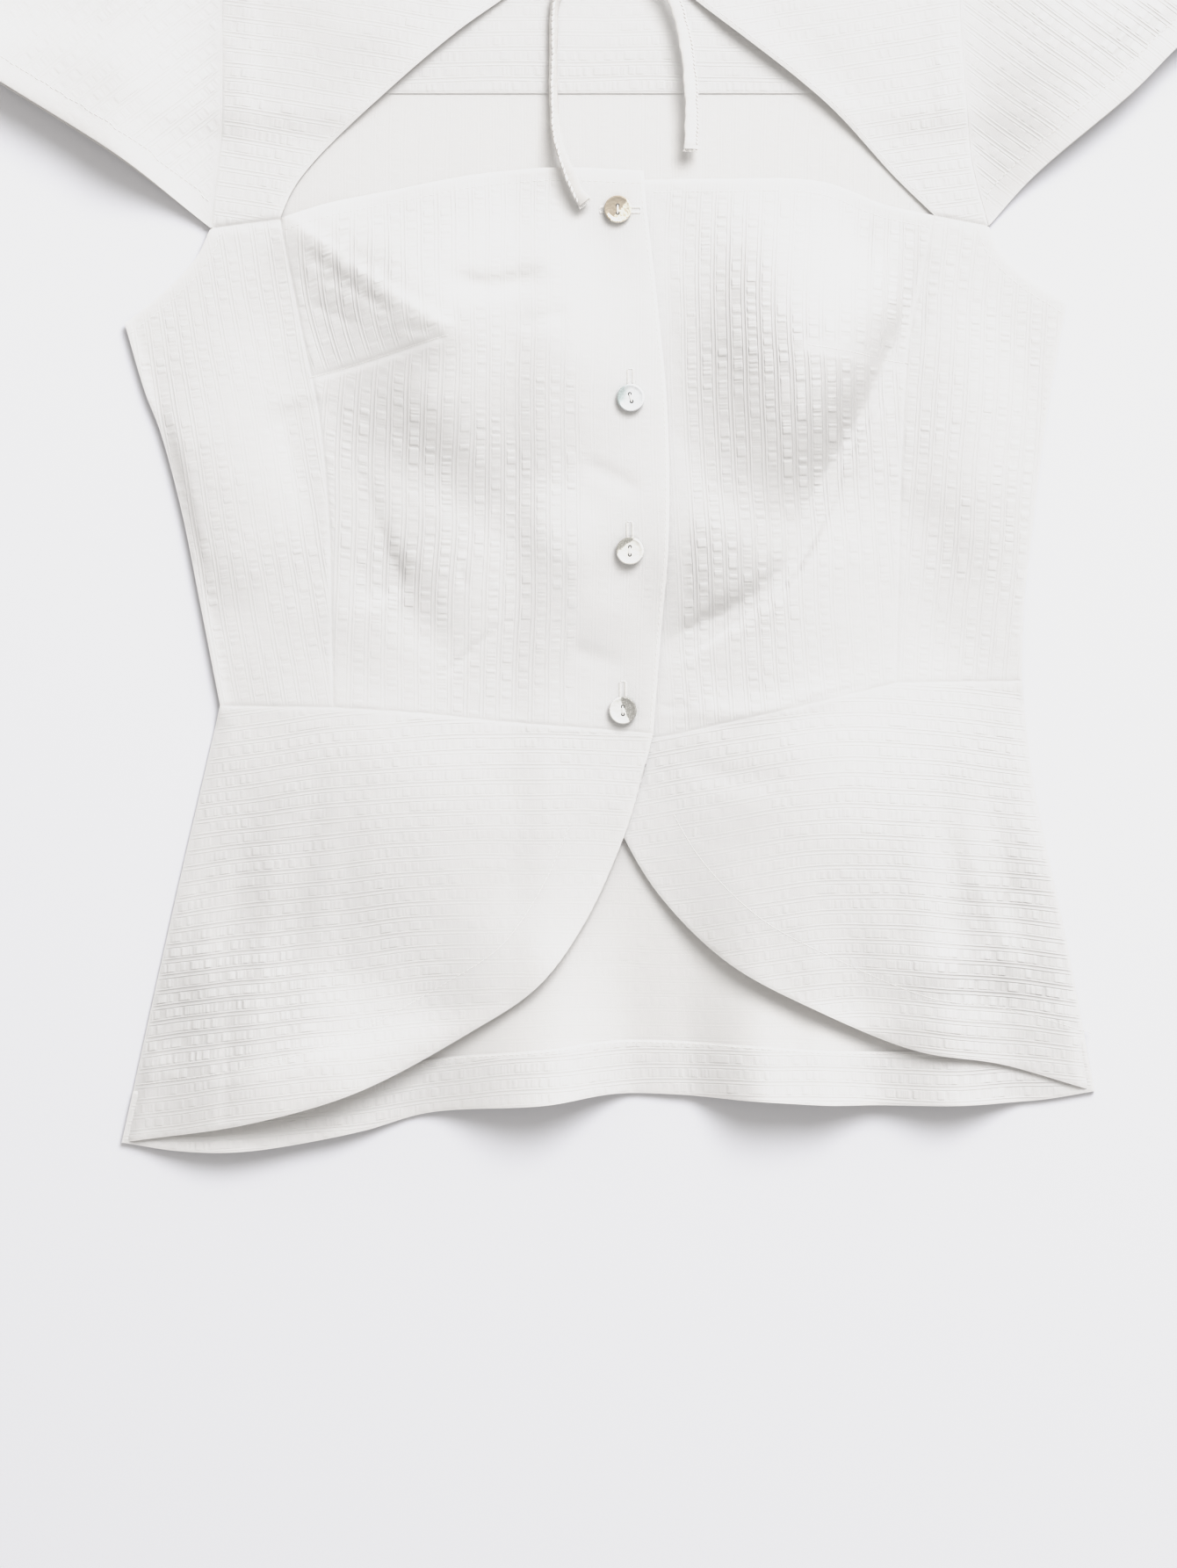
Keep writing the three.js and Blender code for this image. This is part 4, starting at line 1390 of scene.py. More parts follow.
def tube(line: Array, across: Array, up: Array, widths: Array, heights: Array, sides: int,
         power: float = 2.0) -> tuple[Array, Array, Array]:
    """A closed tube of oval section carried along a line.

    Formula: point = line + width * c * across + height * s * up, where c and s are the cosine and sine
    of the turn round the section, each raised to 2 / power with its sign kept; flat caps close the
    ends.

    Args:
        line: middles of the rings.
        across: direction of each section's width.
        up: direction of each section's height.
        widths: half widths.
        heights: half heights.
        sides: points round the section.
        power: 2 for an oval, more for a squarer one.

    Returns:
        Points, quads, and the turn round and distance along for each point, in millimetres.
    """
    turn = np.arange(sides) / sides * 2 * math.pi
    c, s = (np.sign(w) * np.abs(w) ** (2 / power) for w in (np.cos(turn), np.sin(turn)))
    rings = (line[:, None] + across[:, None] * (widths[:, None] * c)[..., None]
             + up[:, None] * (heights[:, None] * s)[..., None])
    run = distances(line)
    girth = np.arange(sides) / sides * 4.2 * widths.mean()
    plan = np.stack(np.broadcast_arrays(girth[None], run[:, None]), -1).reshape(-1, 2)
    count = len(line)
    faces = np.concatenate([ring_quads(count, sides), cap_quads(0, sides)[:, ::-1],
                            cap_quads((count - 1) * sides, sides)])
    points = rings.reshape(-1, 3)
    if volume_of(points, faces) < 0:
        faces = faces[:, ::-1]
    return points, faces, plan


@dataclass
class NeckTie:
    """A narrow stitched tie that falls from the knot and ends free."""

    side: Side
    route_m: Places  # in metres, from the knot to the free end
    length_m: float
    widths: Places  # share of the length, and the width there
    thickness: float
    twist: Places  # share of the length, and the turn of its flat about its run in degrees
    stitched_hand: int  # edge that the stitches run along
    stitch: tuple[float, float, float]  # length, radius and distance apart
    stitch_inset: float = 0.75
    loose_threads: int = 26

    def build(self, wardrobe: Wardrobe) -> bpy.types.Object:
        """Args:
            wardrobe: the finishes.

        Returns:
            The tie.
        """
        name = f"tie_{self.side.value}"
        line = flowing_curve(tuple(tuple(c / MM for c in place) for place in self.route_m))
        line = spaced(line, np.linspace(0, 1, round(length_of(line) / 0.9)))
        share = np.linspace(0, 1, len(line))
        run = heading(line)
        flat = unit(np.cross(run, UP))
        table = np.asarray(self.twist, float)
        angle = np.radians(np.interp(share, table[:, 0], table[:, 1]))[:, None]
        up = np.cross(flat, run)
        across = flat * np.cos(angle) + up * np.sin(angle)
        up = np.cross(across, run)
        fringe = 1 + 0.05 * np.sin(share * 37) + 0.04 * np.sin(share * 91 + 1)
        open_end = 1 + 0.12 * ramp(share, 0.97, 1.0)
        widths = np.interp(share, *np.asarray(self.widths, float).T) / 2 * fringe * open_end
        heights = self.thickness / 2 * (1 + 0.08 * np.sin(share * 53)) * (1 - 0.25 * ramp(share, 0.97, 1))
        points, faces, plan = tube(line, across, up, widths, heights, 20, 2.4)
        edge = widths[:, None] - self.stitch_inset
        # the right tie takes the darker copy of the cotton, whose colour is painted shade
        finish = wardrobe.rolled_with_painted_shade if self.side is Side.RIGHT else wardrobe.ribbed
        thing = stand(name + "_cloth", points, faces, [finish], sharp=70)
        set_map(thing, plan * np.array([0.5, 1.0]))
        set_number(thing, "crinkle", np.full(len(points), 0.35))
        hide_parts(name)
        seamed = line + across * edge * self.stitched_hand
        rows = [self.edge_stitches(name, seamed, across, up, run, wardrobe),
                self.frayed_end(name, line, across, up, run, wardrobe)]
        math.sqrt(2 * widths.mean() * self.thickness) * MM
        LOG.info("%s: %.1f mm long", thing.name, length_of(line))
        return thing

    def edge_stitches(self, name: str, line: Array, across: Array, up: Array, run: Array,
                      wardrobe: Wardrobe) -> bpy.types.Object:
        """Slanting stitches along one edge of the tie.

        Args:
            name: the tie's name.
            line: the line that they follow.
            across: direction across the tie at each point.
            up: direction out of its flat.
            run: direction along it.
            wardrobe: the finishes.

        Returns:
            The row.
        """
        length, radius, apart = self.stitch
        count = round(length_of(line) / apart)
        pick = np.linspace(2, len(line) - 4, count).astype(int)
        at = line[pick] + up[pick] * (self.thickness / 2 - STITCH_SINK)
        slant = unit(run[pick] * 0.86 + across[pick] * 0.5 * self.stitched_hand)
        points, faces = repeated(*lozenge(length, radius), at, slant, up[pick])
        return stand(name + "_stitches", points, faces, [wardrobe.thread])

    def frayed_end(self, name: str, line: Array, across: Array, up: Array, run: Array,
                   wardrobe: Wardrobe) -> bpy.types.Object:
        """A few loose threads past the cut end.

        Args:
            name: the tie's name.
            line: middles of the tie.
            across: direction across the tie at each point.
            up: direction out of its flat.
            run: direction along it.
            wardrobe: the finishes.

        Returns:
            The threads.
        """
        chance = np.random.default_rng(5 + self.stitched_hand)
        count = self.loose_threads
        sides = chance.uniform(-0.5, 0.5, count)[:, None]
        at = line[-1] + across[-1] * self.widths[-1][1] * sides
        at = at + up[-1] * chance.uniform(-0.4, 0.3, count)[:, None]
        slant = run[-1] + across[-1] * chance.uniform(-0.7, 0.7, count)[:, None]
        slant = unit(slant + up[-1] * chance.uniform(-0.15, 0.15, count)[:, None])
        points, faces = repeated(*lozenge(2.2, 0.15), at + slant * 0.4, slant, upright(slant))
        return stand(name + "_frayed_end", points, faces, [wardrobe.thread])


@dataclass
class Knot:
    """The knot of the two ties at the neck: a band wound three times through itself."""

    middle: tuple[float, float, float] = (3.6, 258.5, 10.6)
    reach: tuple[float, float, float] = (8.0, 6.5, 3.9)
    band: float = 2.1  # half the band's width
    flatness: float = 0.72  # its half thickness over its half width
    sides: int = 14

    def build(self, wardrobe: Wardrobe) -> bpy.types.Object:
        """Make the knot.

        Formula: a trefoil, x = sin u + 2 sin 2u, y = cos u - 2 cos 2u, z = -sin 3u, drawn to the knot's
        reach less the band's own, with an oval band along it.

        Args:
            wardrobe: the finishes.

        Returns:
            The knot.
        """
        u = np.linspace(0, 2 * math.pi, 121)[:-1]
        form = np.stack([np.sin(u) + 2 * np.sin(2 * u), np.cos(u) - 2 * np.cos(2 * u), -np.sin(3 * u)], 1)
        room = np.array(self.reach) - self.band * np.array([1, 1, 0.75])
        line = form / np.abs(form).max(0) * room + np.array(self.middle)
        run = unit(np.roll(line, -1, 0) - np.roll(line, 1, 0))
        across = unit(np.cross(run, UP))
        up = np.cross(across, run)
        turn = np.arange(self.sides) / self.sides * 2 * math.pi
        rings = (line[:, None] + across[:, None] * (self.band * np.cos(turn))[None, :, None]
                 + up[:, None] * (self.band * self.flatness * np.sin(turn))[None, :, None])
        number = np.arange(len(line) * self.sides).reshape(len(line), self.sides)
        faces = np.stack([number, np.roll(number, -1, 1), np.roll(np.roll(number, -1, 1), -1, 0),
                          np.roll(number, -1, 0)], -1).reshape(-1, 4)
        points = rings.reshape(-1, 3)
        if volume_of(points, faces) < 0:
            faces = faces[:, ::-1]
        thing = stand("tie_knot_cloth", points, faces, [wardrobe.ribbed])
        plan = np.stack(np.broadcast_arrays(turn[None] * self.band, np.arange(len(line))[:, None] * 0.5), -1)
        set_map(thing, plan.reshape(-1, 2))
        set_number(thing, "crinkle", np.full(len(points), 0.3))
        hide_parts("tie_knot")
        LOG.info("%s: made", thing.name)
        return thing


@dataclass
class NeckBinding:
    """The folded strip round the neck: over one front, round the shoulder, the back, and again."""

    cut: tuple[float, float]
    area: float
    half: float = 0.36  # from the strip's own middle to the middle of each of its layers
    columns: int = 9  # points across each layer
    map_step: float = 0.8  # width that the cloth's map gives to each point of a section

    def lay(self, line: Array, level: Height, facing: float) -> tuple[Array, Array, Array]:
        """Stations of the strip along a neck line: places, directions across it and facings.

        Args:
            line: the neck line.
            level: what it lies on.
            facing: 1 where its outer face is up, and -1 where it is down.

        Returns:
            One row for each station in each of the three.
        """
        line = spaced(line, np.linspace(0, 1, round(length_of(line) / 2.0)))
        along = heading(line)
        across = np.stack([-along[:, 1], along[:, 0]], 1)
        across *= np.sign(((np.array([2.0, 330.0]) - line) * across).sum(1))[:, None]
        places = np.column_stack([line, level(*line.T) + WALL / 2])
        return (places, np.column_stack([across, np.zeros(len(line))]),
                np.tile(UP * facing, (len(line), 1)))

    def turn(self, x: float, y: float, level: Height, sign: int) -> tuple[Array, Array, Array]:
        """Stations round the fold at a shoulder, from the front down to the back.

        Args:
            x: X of the shoulder's end.
            y: Y of the shoulder's end.
            level: what the front lies on.
            sign: -1 at the right shoulder and 1 at the left one.

        Returns:
            Places, directions across and facings.
        """
        angle = np.radians(np.linspace(15, 165, 11))[:, None]
        out = np.array([0.35 * sign, 0.94, 0.0])
        across = np.array([-0.55 * sign, 0.83, 0.0])
        high, low = float(level(np.array([x]), np.array([y]))[0]) + WALL / 2, WALL / 2 + 0.2
        radius = (high - low) / 2
        places = (np.array([x, y, (high + low) / 2]) + out * radius * np.sin(angle)
                  + UP * radius * np.cos(angle))
        facing = out * np.sin(angle) + UP * np.cos(angle)
        return places, np.tile(unit(across), (len(angle), 1)), facing

    def build(self, wardrobe: Wardrobe) -> bpy.types.Object:
        """Make the strip.

        Formula: at each station the cloth runs out from the neck line, round a half circle at the strip's
        far edge, and back below itself.

        Args:
            wardrobe: the finishes.

        Returns:
            The strip.
        """
        right, left = SEAMS["back_neck"][0], SEAMS["back_neck"][-1]
        down = self.turn(*right, DRAPE.lapped, -1)
        rise = tuple(part[::-1] for part in self.turn(*left, DRAPE.front, 1))
        parts = (
            self.lay(seam("-neck_right"), DRAPE.lapped, 1.0), down,
            self.lay(seam("back_neck"), lambda x, y: np.full(x.shape, 0.2), -1.0), rise,
            self.lay(seam("neck_left"), DRAPE.front, 1.0))
        places, across, facing = (np.concatenate(column) for column in zip(*parts))
        reach = np.linspace(GAP, BINDING_WIDTH - 0.4, self.columns)
        bend = np.radians(np.linspace(75, -75, 5))
        out = np.concatenate([reach, reach[-1] + self.half * np.cos(bend), reach[::-1]])
        flat = np.full(self.columns, self.half)
        rise_by = np.concatenate([flat, self.half * np.sin(bend), -flat])
        middle = (places[:, None] + across[:, None] * out[None, :, None]
                  + facing[:, None] * rise_by[None, :, None])
        run = distances(places)
        width = np.arange(len(out)) * self.map_step
        bias = np.stack([(run[:, None] - width[None]) * 0.7, (run[:, None] + width[None]) * 0.7], -1)
        thing = cloth_shell("neck_binding_cloth", "neck_binding", middle, bias,
                            np.full(middle.shape[:2], 0.4), Face.RIGHT_SIDE, wardrobe)
        LOG.info("%s: %.0f mm long", thing.name, run[-1])
        return thing


# ---- buttons -------------------------------------------------------------------------------------


@dataclass
class Button:
    """A two-hole shell button with its thread and the buttonhole that it has come through."""

    number: int
    x: float
    y: float
    finish: RiverShell
    hole_turn: float = 0.0  # of the pair of holes, in degrees from the Y axis
    hole_length: tuple[float, float] = (-5.0, 13.4)  # buttonhole, from the button's middle
    across: bool = False  # the buttonhole runs across the blouse
    radius: float = 6.4
    height: float = 2.3
    hole_radius: float = 0.85
    hole_spacing: float = 3.6
    sides: int = 72
    hole_sides: int = 24
    stitch_lift: float = 0.03  # of the buttonhole's stitches over the cloth
    row_apart: float = 2.5  # between the buttonhole's two rows of stitches
    crisp: float = 38.0  # edges that turn by more than this many degrees are crisp
    profile: Places = ((0.0, 1.72), (2.0, 1.70), (3.8, 1.72), (4.7, 1.86), (5.25, 2.14), (5.6, 2.28),
                       (5.9, 2.3), (6.15, 2.2), (6.33, 1.9), (6.4, 1.5), (6.38, 1.0), (6.15, 0.45),
                       (5.6, 0.1), (4.8, 0.0), (2.4, 0.0), (0.0, 0.0))

    def seat(self) -> float:
        """Level of the button's underside: just clear of the highest cloth below it.

        Returns:
            The level.
        """
        dx, dy = np.meshgrid([-self.radius, 0, self.radius], [-self.radius, 0, self.radius])
        drape = Drape(creases=(), ripples=())
        return float(drape.lapped(self.x + dx, self.y + dy).max()) + LAYER

    def build(self, wardrobe: Wardrobe) -> bpy.types.Object:
        """Make the button, its thread and its buttonhole.

        Args:
            wardrobe: the finishes.

        Returns:
            The button.
        """
        seat = self.seat()
        angle = math.radians(self.hole_turn)
        away = np.array([math.sin(angle), math.cos(angle)]) * self.hole_spacing / 2
        middles = np.array([[self.x, self.y] + away, [self.x, self.y] - away])
        mesh = self.drilled(*self.turned(seat), middles, seat)
        thing = seated(mesh.name, mesh, [self.finish.make((self.x, self.y))], self.crisp)
        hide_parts(f"button_{self.number}")
        self.sewing_thread(middles, seat, wardrobe)
        self.buttonhole(wardrobe)
        LOG.info("%s: at %.1f mm", thing.name, seat)
        return thing

    def turned(self, seat: float) -> tuple[Array, list[list[int]]]:
        """The button's body before its holes.

        Formula: its profile turned about its own axis, whose first and last places are the middles of
        its two faces.

        Args:
            seat: level of its underside.

        Returns:
            Points, in millimetres, and faces.
        """
        profile, sides = np.asarray(self.profile, float), self.sides
        turn = np.arange(sides) / sides * 2 * math.pi
        ring = np.stack([np.cos(turn), np.sin(turn)], 1)
        body = profile[1:-1]
        rings = np.concatenate([ring[None] * body[:, 0, None, None],
                                np.broadcast_to(body[:, 1, None, None], (len(body), sides, 1))], -1)
        ends = [[0, 0, profile[0, 1]], [0, 0, profile[-1, 1]]]
        points = np.concatenate([rings.reshape(-1, 3), ends]) + np.array([self.x, self.y, seat])
        k, top = np.arange(sides), len(body) * sides
        last = top - sides
        faces = np.roll(ring_quads(len(body), sides)[:, ::-1], 1, axis=1).tolist()
        faces += np.stack([np.full(sides, top), k, (k + 1) % sides], 1).tolist()
        faces += np.stack([last + (k + 1) % sides, last + k, np.full(sides, top + 1)], 1).tolist()
        return points, faces

    def drilled(self, points: Array, faces: list[list[int]], middles: Array,
                seat: float) -> bpy.types.Mesh:
        """The turned body with a round hole cut at each middle.

        Args:
            points: the body's points, in millimetres.
            faces: its faces.
            middles: places of the holes.
            seat: level of its underside.

        Returns:
            The drilled mesh.
        """
        body_mesh = bpy.data.meshes.new("turned body")
        body_mesh.from_pydata(points * MM, [], faces)
        body = bpy.data.objects.new("turned body", body_mesh)
        sides = self.hole_sides
        turn = np.arange(sides) / sides * 2 * math.pi
        drills, walls = [], []
        for base, middle in zip((0, 2 * sides), middles):
            ring = np.stack([np.cos(turn), np.sin(turn)], 1) * self.hole_radius + middle
            drills += [np.column_stack([ring, np.full(sides, seat + z)]) for z in (-1.0, self.height + 1.0)]
            round_it = list(range(base, base + sides))
            walls += [round_it[::-1], [sides + place for place in round_it]]
            walls += (ring_quads(2, sides) + base).tolist()
        drill_mesh = bpy.data.meshes.new("drills")
        drill_mesh.from_pydata(np.concatenate(drills) * MM, [], walls)
        drill = bpy.data.objects.new("drills", drill_mesh)
        for part in (body, drill):
            bpy.context.scene.collection.objects.link(part)
        cut = body.modifiers.new("holes", "BOOLEAN")
        cut.operation, cut.object, cut.solver = "DIFFERENCE", drill, "EXACT"
        graph = bpy.context.evaluated_depsgraph_get()
        mesh = bpy.data.meshes.new_from_object(body.evaluated_get(graph))
        mesh.name = f"button_{self.number}_shell"
        for part in (body, drill):
            bpy.data.objects.remove(part, do_unlink=True)
        return mesh

    def sewing_thread(self, middles: Array, seat: float, wardrobe: Wardrobe) -> bpy.types.Object:
        """Threads from hole to hole on the button, and down through it to the cloth.

        Args:
            middles: places of the two holes.
            seat: level of the button's underside.
            wardrobe: the finishes.

        Returns:
            The threads.
        """
        run = np.append(unit(middles[0] - middles[1]), 0.0)
        side = np.array([-run[1], run[0], 0.0])
        middle = np.append(middles.mean(0), seat + 1.86)
        over = [middle + side * off for off in (-0.28, 0.0, 0.3)]
        points, faces = repeated(*lozenge(self.hole_spacing + 0.9, 0.2, 8), np.array(over),
                                 np.tile(run, (3, 1)), np.tile(UP, (3, 1)))
        down = [np.append(place, seat + 0.55) for place in middles]
        more, more_faces = repeated(*lozenge(2.5, 0.42, 8), np.array(down), np.tile(UP, (2, 1)),
                                    np.tile(run, (2, 1)))
        return stand(f"button_{self.number}_thread", np.concatenate([points, more]),
                     np.concatenate([faces, more_faces + len(points)]), [wardrobe.thread])

    def buttonhole(self, wardrobe: Wardrobe) -> bpy.types.Object:
        """Two rows of close stitches beside the slit, and a bar across each end.

        Args:
            wardrobe: the finishes.

        Returns:
            The stitches.
        """
        start, end = self.hole_length
        along = np.arange(start, end, 0.5)
        rows = [(along, np.full(len(along), off)) for off in (-self.row_apart / 2, self.row_apart / 2)]
        bars = [(np.array([at, at]), np.array([-0.6, 0.6])) for at in (start - 0.2, end + 0.2)]
        run, off = (np.concatenate(column) for column in zip(*(rows + bars)))
        plan = np.stack([run, off], 1) if self.across else np.stack([off, run], 1)
        at = plan + np.array([self.x, self.y])
        z = DRAPE.lapped(*at.T) + WALL / 2 + CLOTH / 2 + self.stitch_lift
        cross = np.array([0, 1.0, 0]) if self.across else np.array([1.0, 0, 0])
        points, faces = repeated(*lozenge(1.5, 0.27), np.column_stack([at, z]),
                                 np.tile(cross, (len(at), 1)), np.tile(UP, (len(at), 1)))
        return stand(f"buttonhole_{self.number}", points, faces, [wardrobe.thread])


# ---- studio --------------------------------------------------------------------------------------


@dataclass(frozen=True)
class Studio:
    """A pale floor under soft light from the upper right, seen from straight above."""

    eye: tuple[float, float, float] = (-0.0062, -0.1417, 1.8)
    lens: float = 88.5
    floor_colour: Colour = tint(0.825, 0.83, 0.86)
    lamp_at: tuple[float, float, float] = (1.27, 2.37, 2.75)
    lamp_size: float = 2.6
    lamp_power: float = 129.0
    lamp_colour: tuple[float, float, float] = (0.975, 0.99, 1.02)
    aim: tuple[float, float, float] = (0.0, -0.1, 0.0)
    fill: float = 0.575
    fill_colour: tuple[float, float, float, float] = (1.0, 0.97, 0.935, 1.0)
    floor_half: float = 4.0
    floor_drop: float = 0.0002
    # light that arrives, and light that is shown: the brightest cloth is held just under white
    tones: Places = ((0.0, 0.0), (0.6, 0.6), (0.78, 0.775), (0.86, 0.832), (0.93, 0.856), (1.15, 0.868),
                     (2.0, 0.88))

    def build(self) -> None:
        """Place the camera, the floor, the lamp and the fill, and set the tones."""
        scene = bpy.context.scene
        camera = bpy.data.cameras.new("camera")
        camera.lens = self.lens
        camera.clip_end = 50.0
        eye = bpy.data.objects.new("camera", camera)
        eye.location = self.eye
        scene.collection.objects.link(eye)
        scene.camera = eye
        self.floor()
        lamp = bpy.data.lights.new("soft box", "AREA")
        lamp.shape, lamp.size, lamp.energy = "DISK", self.lamp_size, self.lamp_power
        lamp.color = self.lamp_colour
        box = bpy.data.objects.new("soft box", lamp)
        box.location = self.lamp_at
        box.rotation_euler = (Vector(self.lamp_at) - Vector(self.aim)).to_track_quat("Z", "Y").to_euler()
        scene.collection.objects.link(box)
        world = bpy.data.worlds.new("studio")
        world.use_nodes = True
        sky = world.node_tree.nodes["Background"]
        sky.inputs["Color"].default_value = self.fill_colour
        sky.inputs["Strength"].default_value = self.fill
        scene.world = world
        view = scene.view_settings
        view.view_transform = "Standard"
        view.use_curve_mapping = True
        mapping = view.curve_mapping
        mapping.white_level = (self.tones[-1][0],) * 3
        curve = mapping.curves[3]
        for _ in range(len(self.tones) - 2):
            curve.points.new(0.5, 0.5)
        for point, (arrives, shown) in zip(curve.points, self.tones):
            point.location = (arrives / self.tones[-1][0], shown)
            point.handle_type = "AUTO_CLAMPED"
        mapping.update()

    def floor(self) -> None:
        """A wide flat sheet just under the blouse."""
        bench = Bench("studio floor")
        place = bench.node("ShaderNodeTexCoord", None, None, "Object")
        grain = bench.noise(place, 900.0, 2.0)
        bump = bench.bump(grain, 0.1 * MM, 0.15)
        material = bench.finish(bench.node("ShaderNodeBsdfPrincipled", None, {
            "Base Color": self.floor_colour, "Roughness": 0.8, "Specular IOR Level": 0.1,
            "Normal": bump}))
        mesh = bpy.data.meshes.new("floor")
        corners = [(x * self.floor_half, y * self.floor_half, -self.floor_drop)
                   for x, y in ((-1, -1), (1, -1), (1, 1), (-1, 1))]
        mesh.from_pydata(corners, [], [(0, 1, 2, 3)])
        mesh.materials.append(material)
        sheet = bpy.data.objects.new("floor", mesh)
        bpy.context.scene.collection.objects.link(sheet)


# ---- the blouse ----------------------------------------------------------------------------------


TIES = (
    NeckTie(Side.RIGHT, (
        (-0.001, 0.2524, 0.0095), (-0.009, 0.242, 0.0074), (-0.0175, 0.232, 0.0058),
        (-0.0217, 0.222, 0.0052), (-0.0225, 0.206, 0.005), (-0.0227, 0.19, 0.005),
        (-0.0224, 0.176, 0.0052), (-0.0214, 0.163, 0.0066), (-0.0196, 0.154, 0.0084),
        (-0.017, 0.1465, 0.0094), (-0.014, 0.139, 0.0098), (-0.011, 0.1325, 0.0097),
        (-0.008, 0.1285, 0.0096)), 0.134, ((0, 4.9), (0.5, 4.0), (0.8, 4.8), (0.92, 5.6), (1, 6.4)), 3.0,
        ((0, 10), (0.2, 25), (0.45, 38), (0.65, 20), (0.85, 6), (1, 0)), 1, (2.3, 0.42, 1.35)),
    NeckTie(Side.LEFT, (
        (0.009, 0.2534, 0.0094), (0.017, 0.2445, 0.0092), (0.026, 0.234, 0.0094),
        (0.0336, 0.2225, 0.0096), (0.0375, 0.21, 0.0095), (0.04, 0.197, 0.0092),
        (0.0413, 0.184, 0.0088), (0.0419, 0.171, 0.0082), (0.0415, 0.1535, 0.0078)),
        0.11, ((0, 5.8), (0.4, 6.2), (1, 6.7)), 2.0,
        ((0, -12), (0.4, -6), (0.8, 4), (1, 0)), -1, (1.5, 0.28, 1.9)),
)

SLEEVES = (
    CapSleeve(Side.RIGHT, 14, 7, StraightGrain(-50), (0.15, 0.31), 0.0256),
    CapSleeve(Side.LEFT, 9, 7, StraightGrain(52), (0.15, 0.31), 0.0268),
)

# each shell's first colour is its own ground and its second a painted reflection; grey-green and cloudy name
# that reflection
BUTTONS = (
    Button(1, 7.4, 125.6, RiverShell("river shell, tan", tint(0.48, 0.415, 0.33), tint(0.9, 0.86, 0.77),
                                     -38, 0.9, 0.6, 6.0, 0.5), 0, (-8.2, 10.4), True),
    Button(2, 13.4, 37.6, RiverShell("river shell, grey-green", tint(0.86, 0.87, 0.88),
                                     tint(0.5, 0.56, 0.55), 165, 3.2, 2.4, 2.0), -14),
    Button(3, 13, -33.5, RiverShell("river shell, white", tint(0.9, 0.89, 0.86),
                                    tint(0.42, 0.41, 0.37), 128, 3.1, 0.5, 5.0), 2),
    Button(4, 9.8, -107.5, RiverShell("river shell, cloudy", tint(0.88, 0.88, 0.86),
                                      tint(0.4, 0.39, 0.36), 20, 0.9, 0.4, 3.0), -1),
)

RIGHT_CUP = DartGrain((-72, 66), (-135, 48), (
    (0, -12), (50, -4), (90, 0), (230, 0), (290, 6), (330, 16), (360, 22)))
LEFT_CUP = DartGrain((96, 61), (132, 56), (
    (0, -7), (98, -2), (188, 2), (278, 3), (360, 4)))
RIGHT_ARCH = ArchedGrain(((-230, 0.16), (-190, 0.14), (-100, 0.09), (-50, 0.02), (0, -0.05), (30, -0.08)))
LEFT_ARCH = ArchedGrain(((-10, 0.17), (60, 0.17), (95, 0.1), (120, 0.0), (160, -0.08), (230, -0.14)))


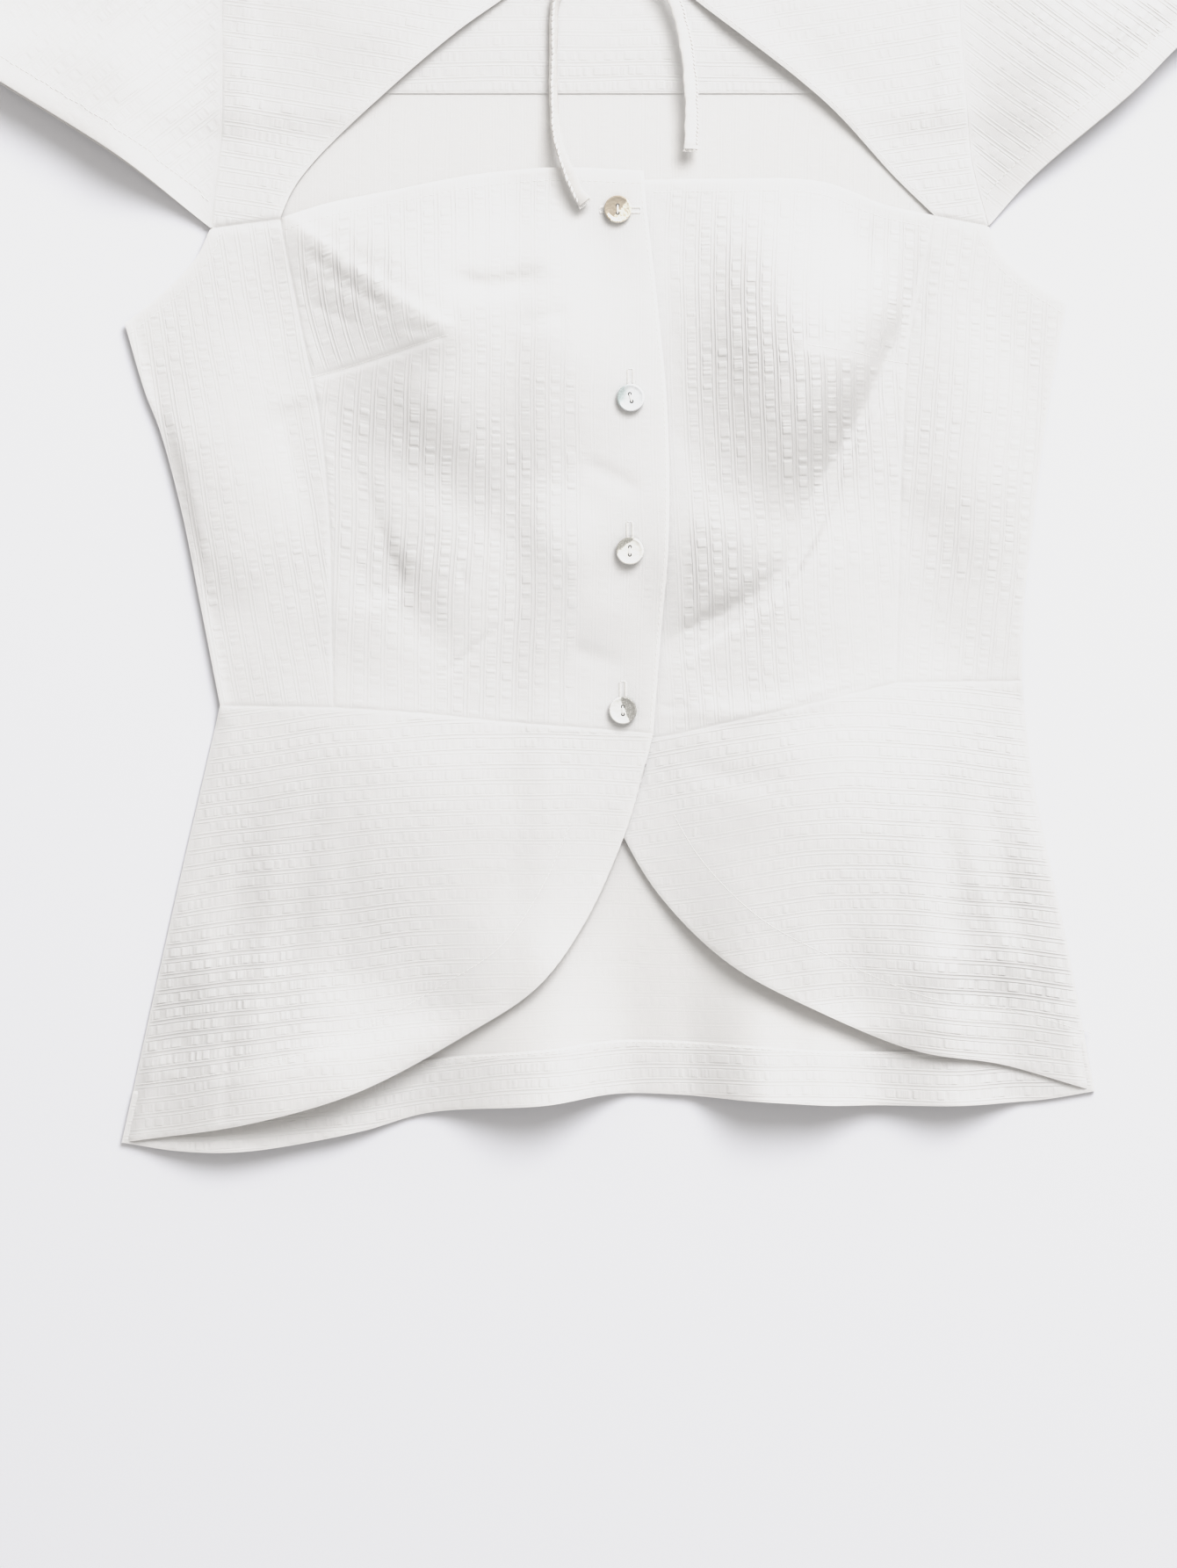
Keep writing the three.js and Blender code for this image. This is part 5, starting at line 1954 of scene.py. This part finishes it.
def front_panels() -> list[Panel]:
    """The eight pieces of the fronts.

    Returns:
        The pieces, in the order in which they are made.
    """
    side_fronts = [
        Panel("front_side_right", ("waist_side_right",), ("armhole_right", "yoke_foot_right"),
              ("side_right",), ("princess_right",), DRAPE.lapped, StraightGrain(9.5), (0.1, 0.23), 0.0153,
              calm=(Calm(("armhole_right",), 6, 0.4),),
              stitches=(StitchRow(("armhole_right",), 5.5),), closed_along=("side_right",)),
        Panel("front_side_left", ("waist_side_left",), ("armhole_left", "yoke_foot_left"),
              ("side_left",), ("princess_left",), DRAPE.front, StraightGrain(-4.0), (0.1, 0.22), 0.0129,
              calm=(Calm(("armhole_left",), 6, 0.4),),
              stitches=(StitchRow(("armhole_left",), 5.5),), closed_along=("side_left",)),
    ]
    centre_fronts = [
        Panel("front_centre_right", ("waist_centre_right",), ("top_right",), ("princess_right",),
              ("front_edge_right",), DRAPE.lapped, RIGHT_CUP, (0.2, 0.28), 0.0413, "front_centre_left",
              cell=1.2, calm=(Calm(("front_edge_right",), 40, 0.25), Calm(("top_right",), 6, 0.35),
                              Calm(("dart_right",), 2.2, 0.0)),
              stitches=(StitchRow(("top_right",), 6.0), StitchRow(("front_edge_right",), 1.6),
                        StitchRow(("dart_right",), 0.0, 1.5, (0.0, 1.0), 1.4))),
        Panel("front_centre_left", ("waist_centre_left",), ("top_left",), ("princess_left",),
              ("front_edge_left",), DRAPE.front, LEFT_CUP, (0.19, 0.28), 0.0398, "back_bodice_cloth",
              cell=1.2, calm=(Calm(("front_edge_right",), 8, 0.3), Calm(("top_left",), 6, 0.35),
                              Calm(("dart_left",), 2.2, 0.0)),
              stitches=(StitchRow(("top_left",), 6.0, share=(0.01, 0.76)),
                        StitchRow(("dart_left",), 0.0, 1.5, (0.0, 1.0), 1.4))),
    ]
    peplum_fronts = [
        Panel("peplum_front_right", ("-peplum_curve_right",), ("waist_side_right", "waist_centre_right"),
              ("-peplum_side_right",), ("-peplum_rise_right",), DRAPE.lapped, RIGHT_ARCH, (0.26, 0.22),
              0.0337, "back_peplum_cloth", calm=(Calm(("peplum_curve_right",), 25, 0.7),),
              stitches=(StitchRow(("peplum_curve_right",), 25.5, share=(0.12, 0.965)),),
              closed_along=("peplum_side_right",)),
        Panel("peplum_front_left", ("-peplum_curve_left",), ("waist_side_left", "waist_centre_left"),
              ("-peplum_side_left",), ("-peplum_rise_left",), DRAPE.front, LEFT_ARCH, (0.25, 0.2), 0.0301,
              "back_peplum_cloth", calm=(Calm(("peplum_curve_left",), 25, 0.7),),
              stitches=(StitchRow(("peplum_curve_left",), 25.5, share=(0.12, 0.965)),),
              closed_along=("peplum_side_left",)),
    ]
    yokes = [
        Panel(f"yoke_{side.value}", (f"yoke_foot_{side.value}",),
              (f"shoulder_{side.value}", f"neck_{side.value}"), (f"sleeve_seam_{side.value}",),
              (f"keyhole_{side.value}",), DRAPE.lapped if side is Side.RIGHT else DRAPE.front,
              StraightGrain(90 + 8.5 * side.sign), (0.19, 0.2), area, "back_yoke_facing_cloth",
              calm=(Calm((f"keyhole_{side.value}",), 3, 0.5),),
              stitches=(StitchRow((f"keyhole_{side.value}",), 2.2, share=(0.05, 0.98)),),
              closed_along=(f"shoulder_{side.value}",))
        for side, area in ((Side.RIGHT, 0.0174), (Side.LEFT, 0.0163))
    ]
    return side_fronts + centre_fronts + peplum_fronts + yokes


def back_panels() -> list[Panel]:
    """The four pieces of the back, whose smooth face lies upwards.

    Returns:
        The pieces, in the order in which they are made.
    """
    bodice = {
        "bottom": ("waist_back",),
        "top": ("shoulder_right", "back_neck", "-shoulder_left"),
        "start": ("side_right", "armhole_right", "sleeve_seam_right"),
        "end": ("side_left", "armhole_left", "sleeve_seam_left"),
    }
    return [
        Panel("back_bodice", **bodice, level=DRAPE.inner, grain=StraightGrain(0), cut=(0.45, 0.43),
              area=0.156, up=Face.WRONG_SIDE, cell=3.4, edge_roll=0.1),
        Panel("back_peplum", ("back_hem",), ("waist_back",), ("-peplum_side_right",),
              ("-peplum_side_left",), DRAPE.inner, StraightGrain(90), (0.48, 0.22), 0.0815,
              up=Face.WRONG_SIDE, cell=2.8, edge_roll=0.1),
        Panel("back_yoke_facing", ("facing_edge",), ("shoulder_right", "back_neck", "-shoulder_left"),
              ("sleeve_seam_high_right",), ("sleeve_seam_high_left",),
              lambda x, y: DRAPE.inner(x, y) + 0.72 + (LAYER - 0.72) * ramp(y, FACING_EDGE_Y, 205),
              StraightGrain(90), (0.35, 0.13), 0.0395,
              "back_bodice_cloth", cell=3.0),
        Panel("back_hem_band", ("back_hem",), ("hem_band_top",), ("hem_band_side_right",),
              ("hem_band_side_left",), lambda x, y: DRAPE.inner(x, y) + LAYER, ArchedGrain((
                  (-224, -0.03), (-165, 0.05), (-100, 0.15), (-30, 0.1), (40, 0.0), (110, -0.04),
                  (230, 0.05))), (0.46, 0.026), 0.0118, "back_peplum_cloth", cell=1.8, edge_roll=0.2,
              stitches=(StitchRow(("hem_band_top",), 1.2),)),
    ]


def main() -> None:
    """Build the studio, the ties and then the blouse, piece by piece."""
    logging.basicConfig(level=logging.INFO, format="%(message)s")
    Studio().build()
    wardrobe = Wardrobe()
    for tie in TIES:
        tie.build(wardrobe)
    for panel in back_panels() + front_panels():
        panel.build(wardrobe)
    for sleeve in SLEEVES:
        sleeve.build(wardrobe)
    NeckBinding((0.0135, 0.43), 0.0051).build(wardrobe)
    Knot().build(wardrobe)
    for button in BUTTONS:
        button.build(wardrobe)


if __name__ == "__main__":
    main()
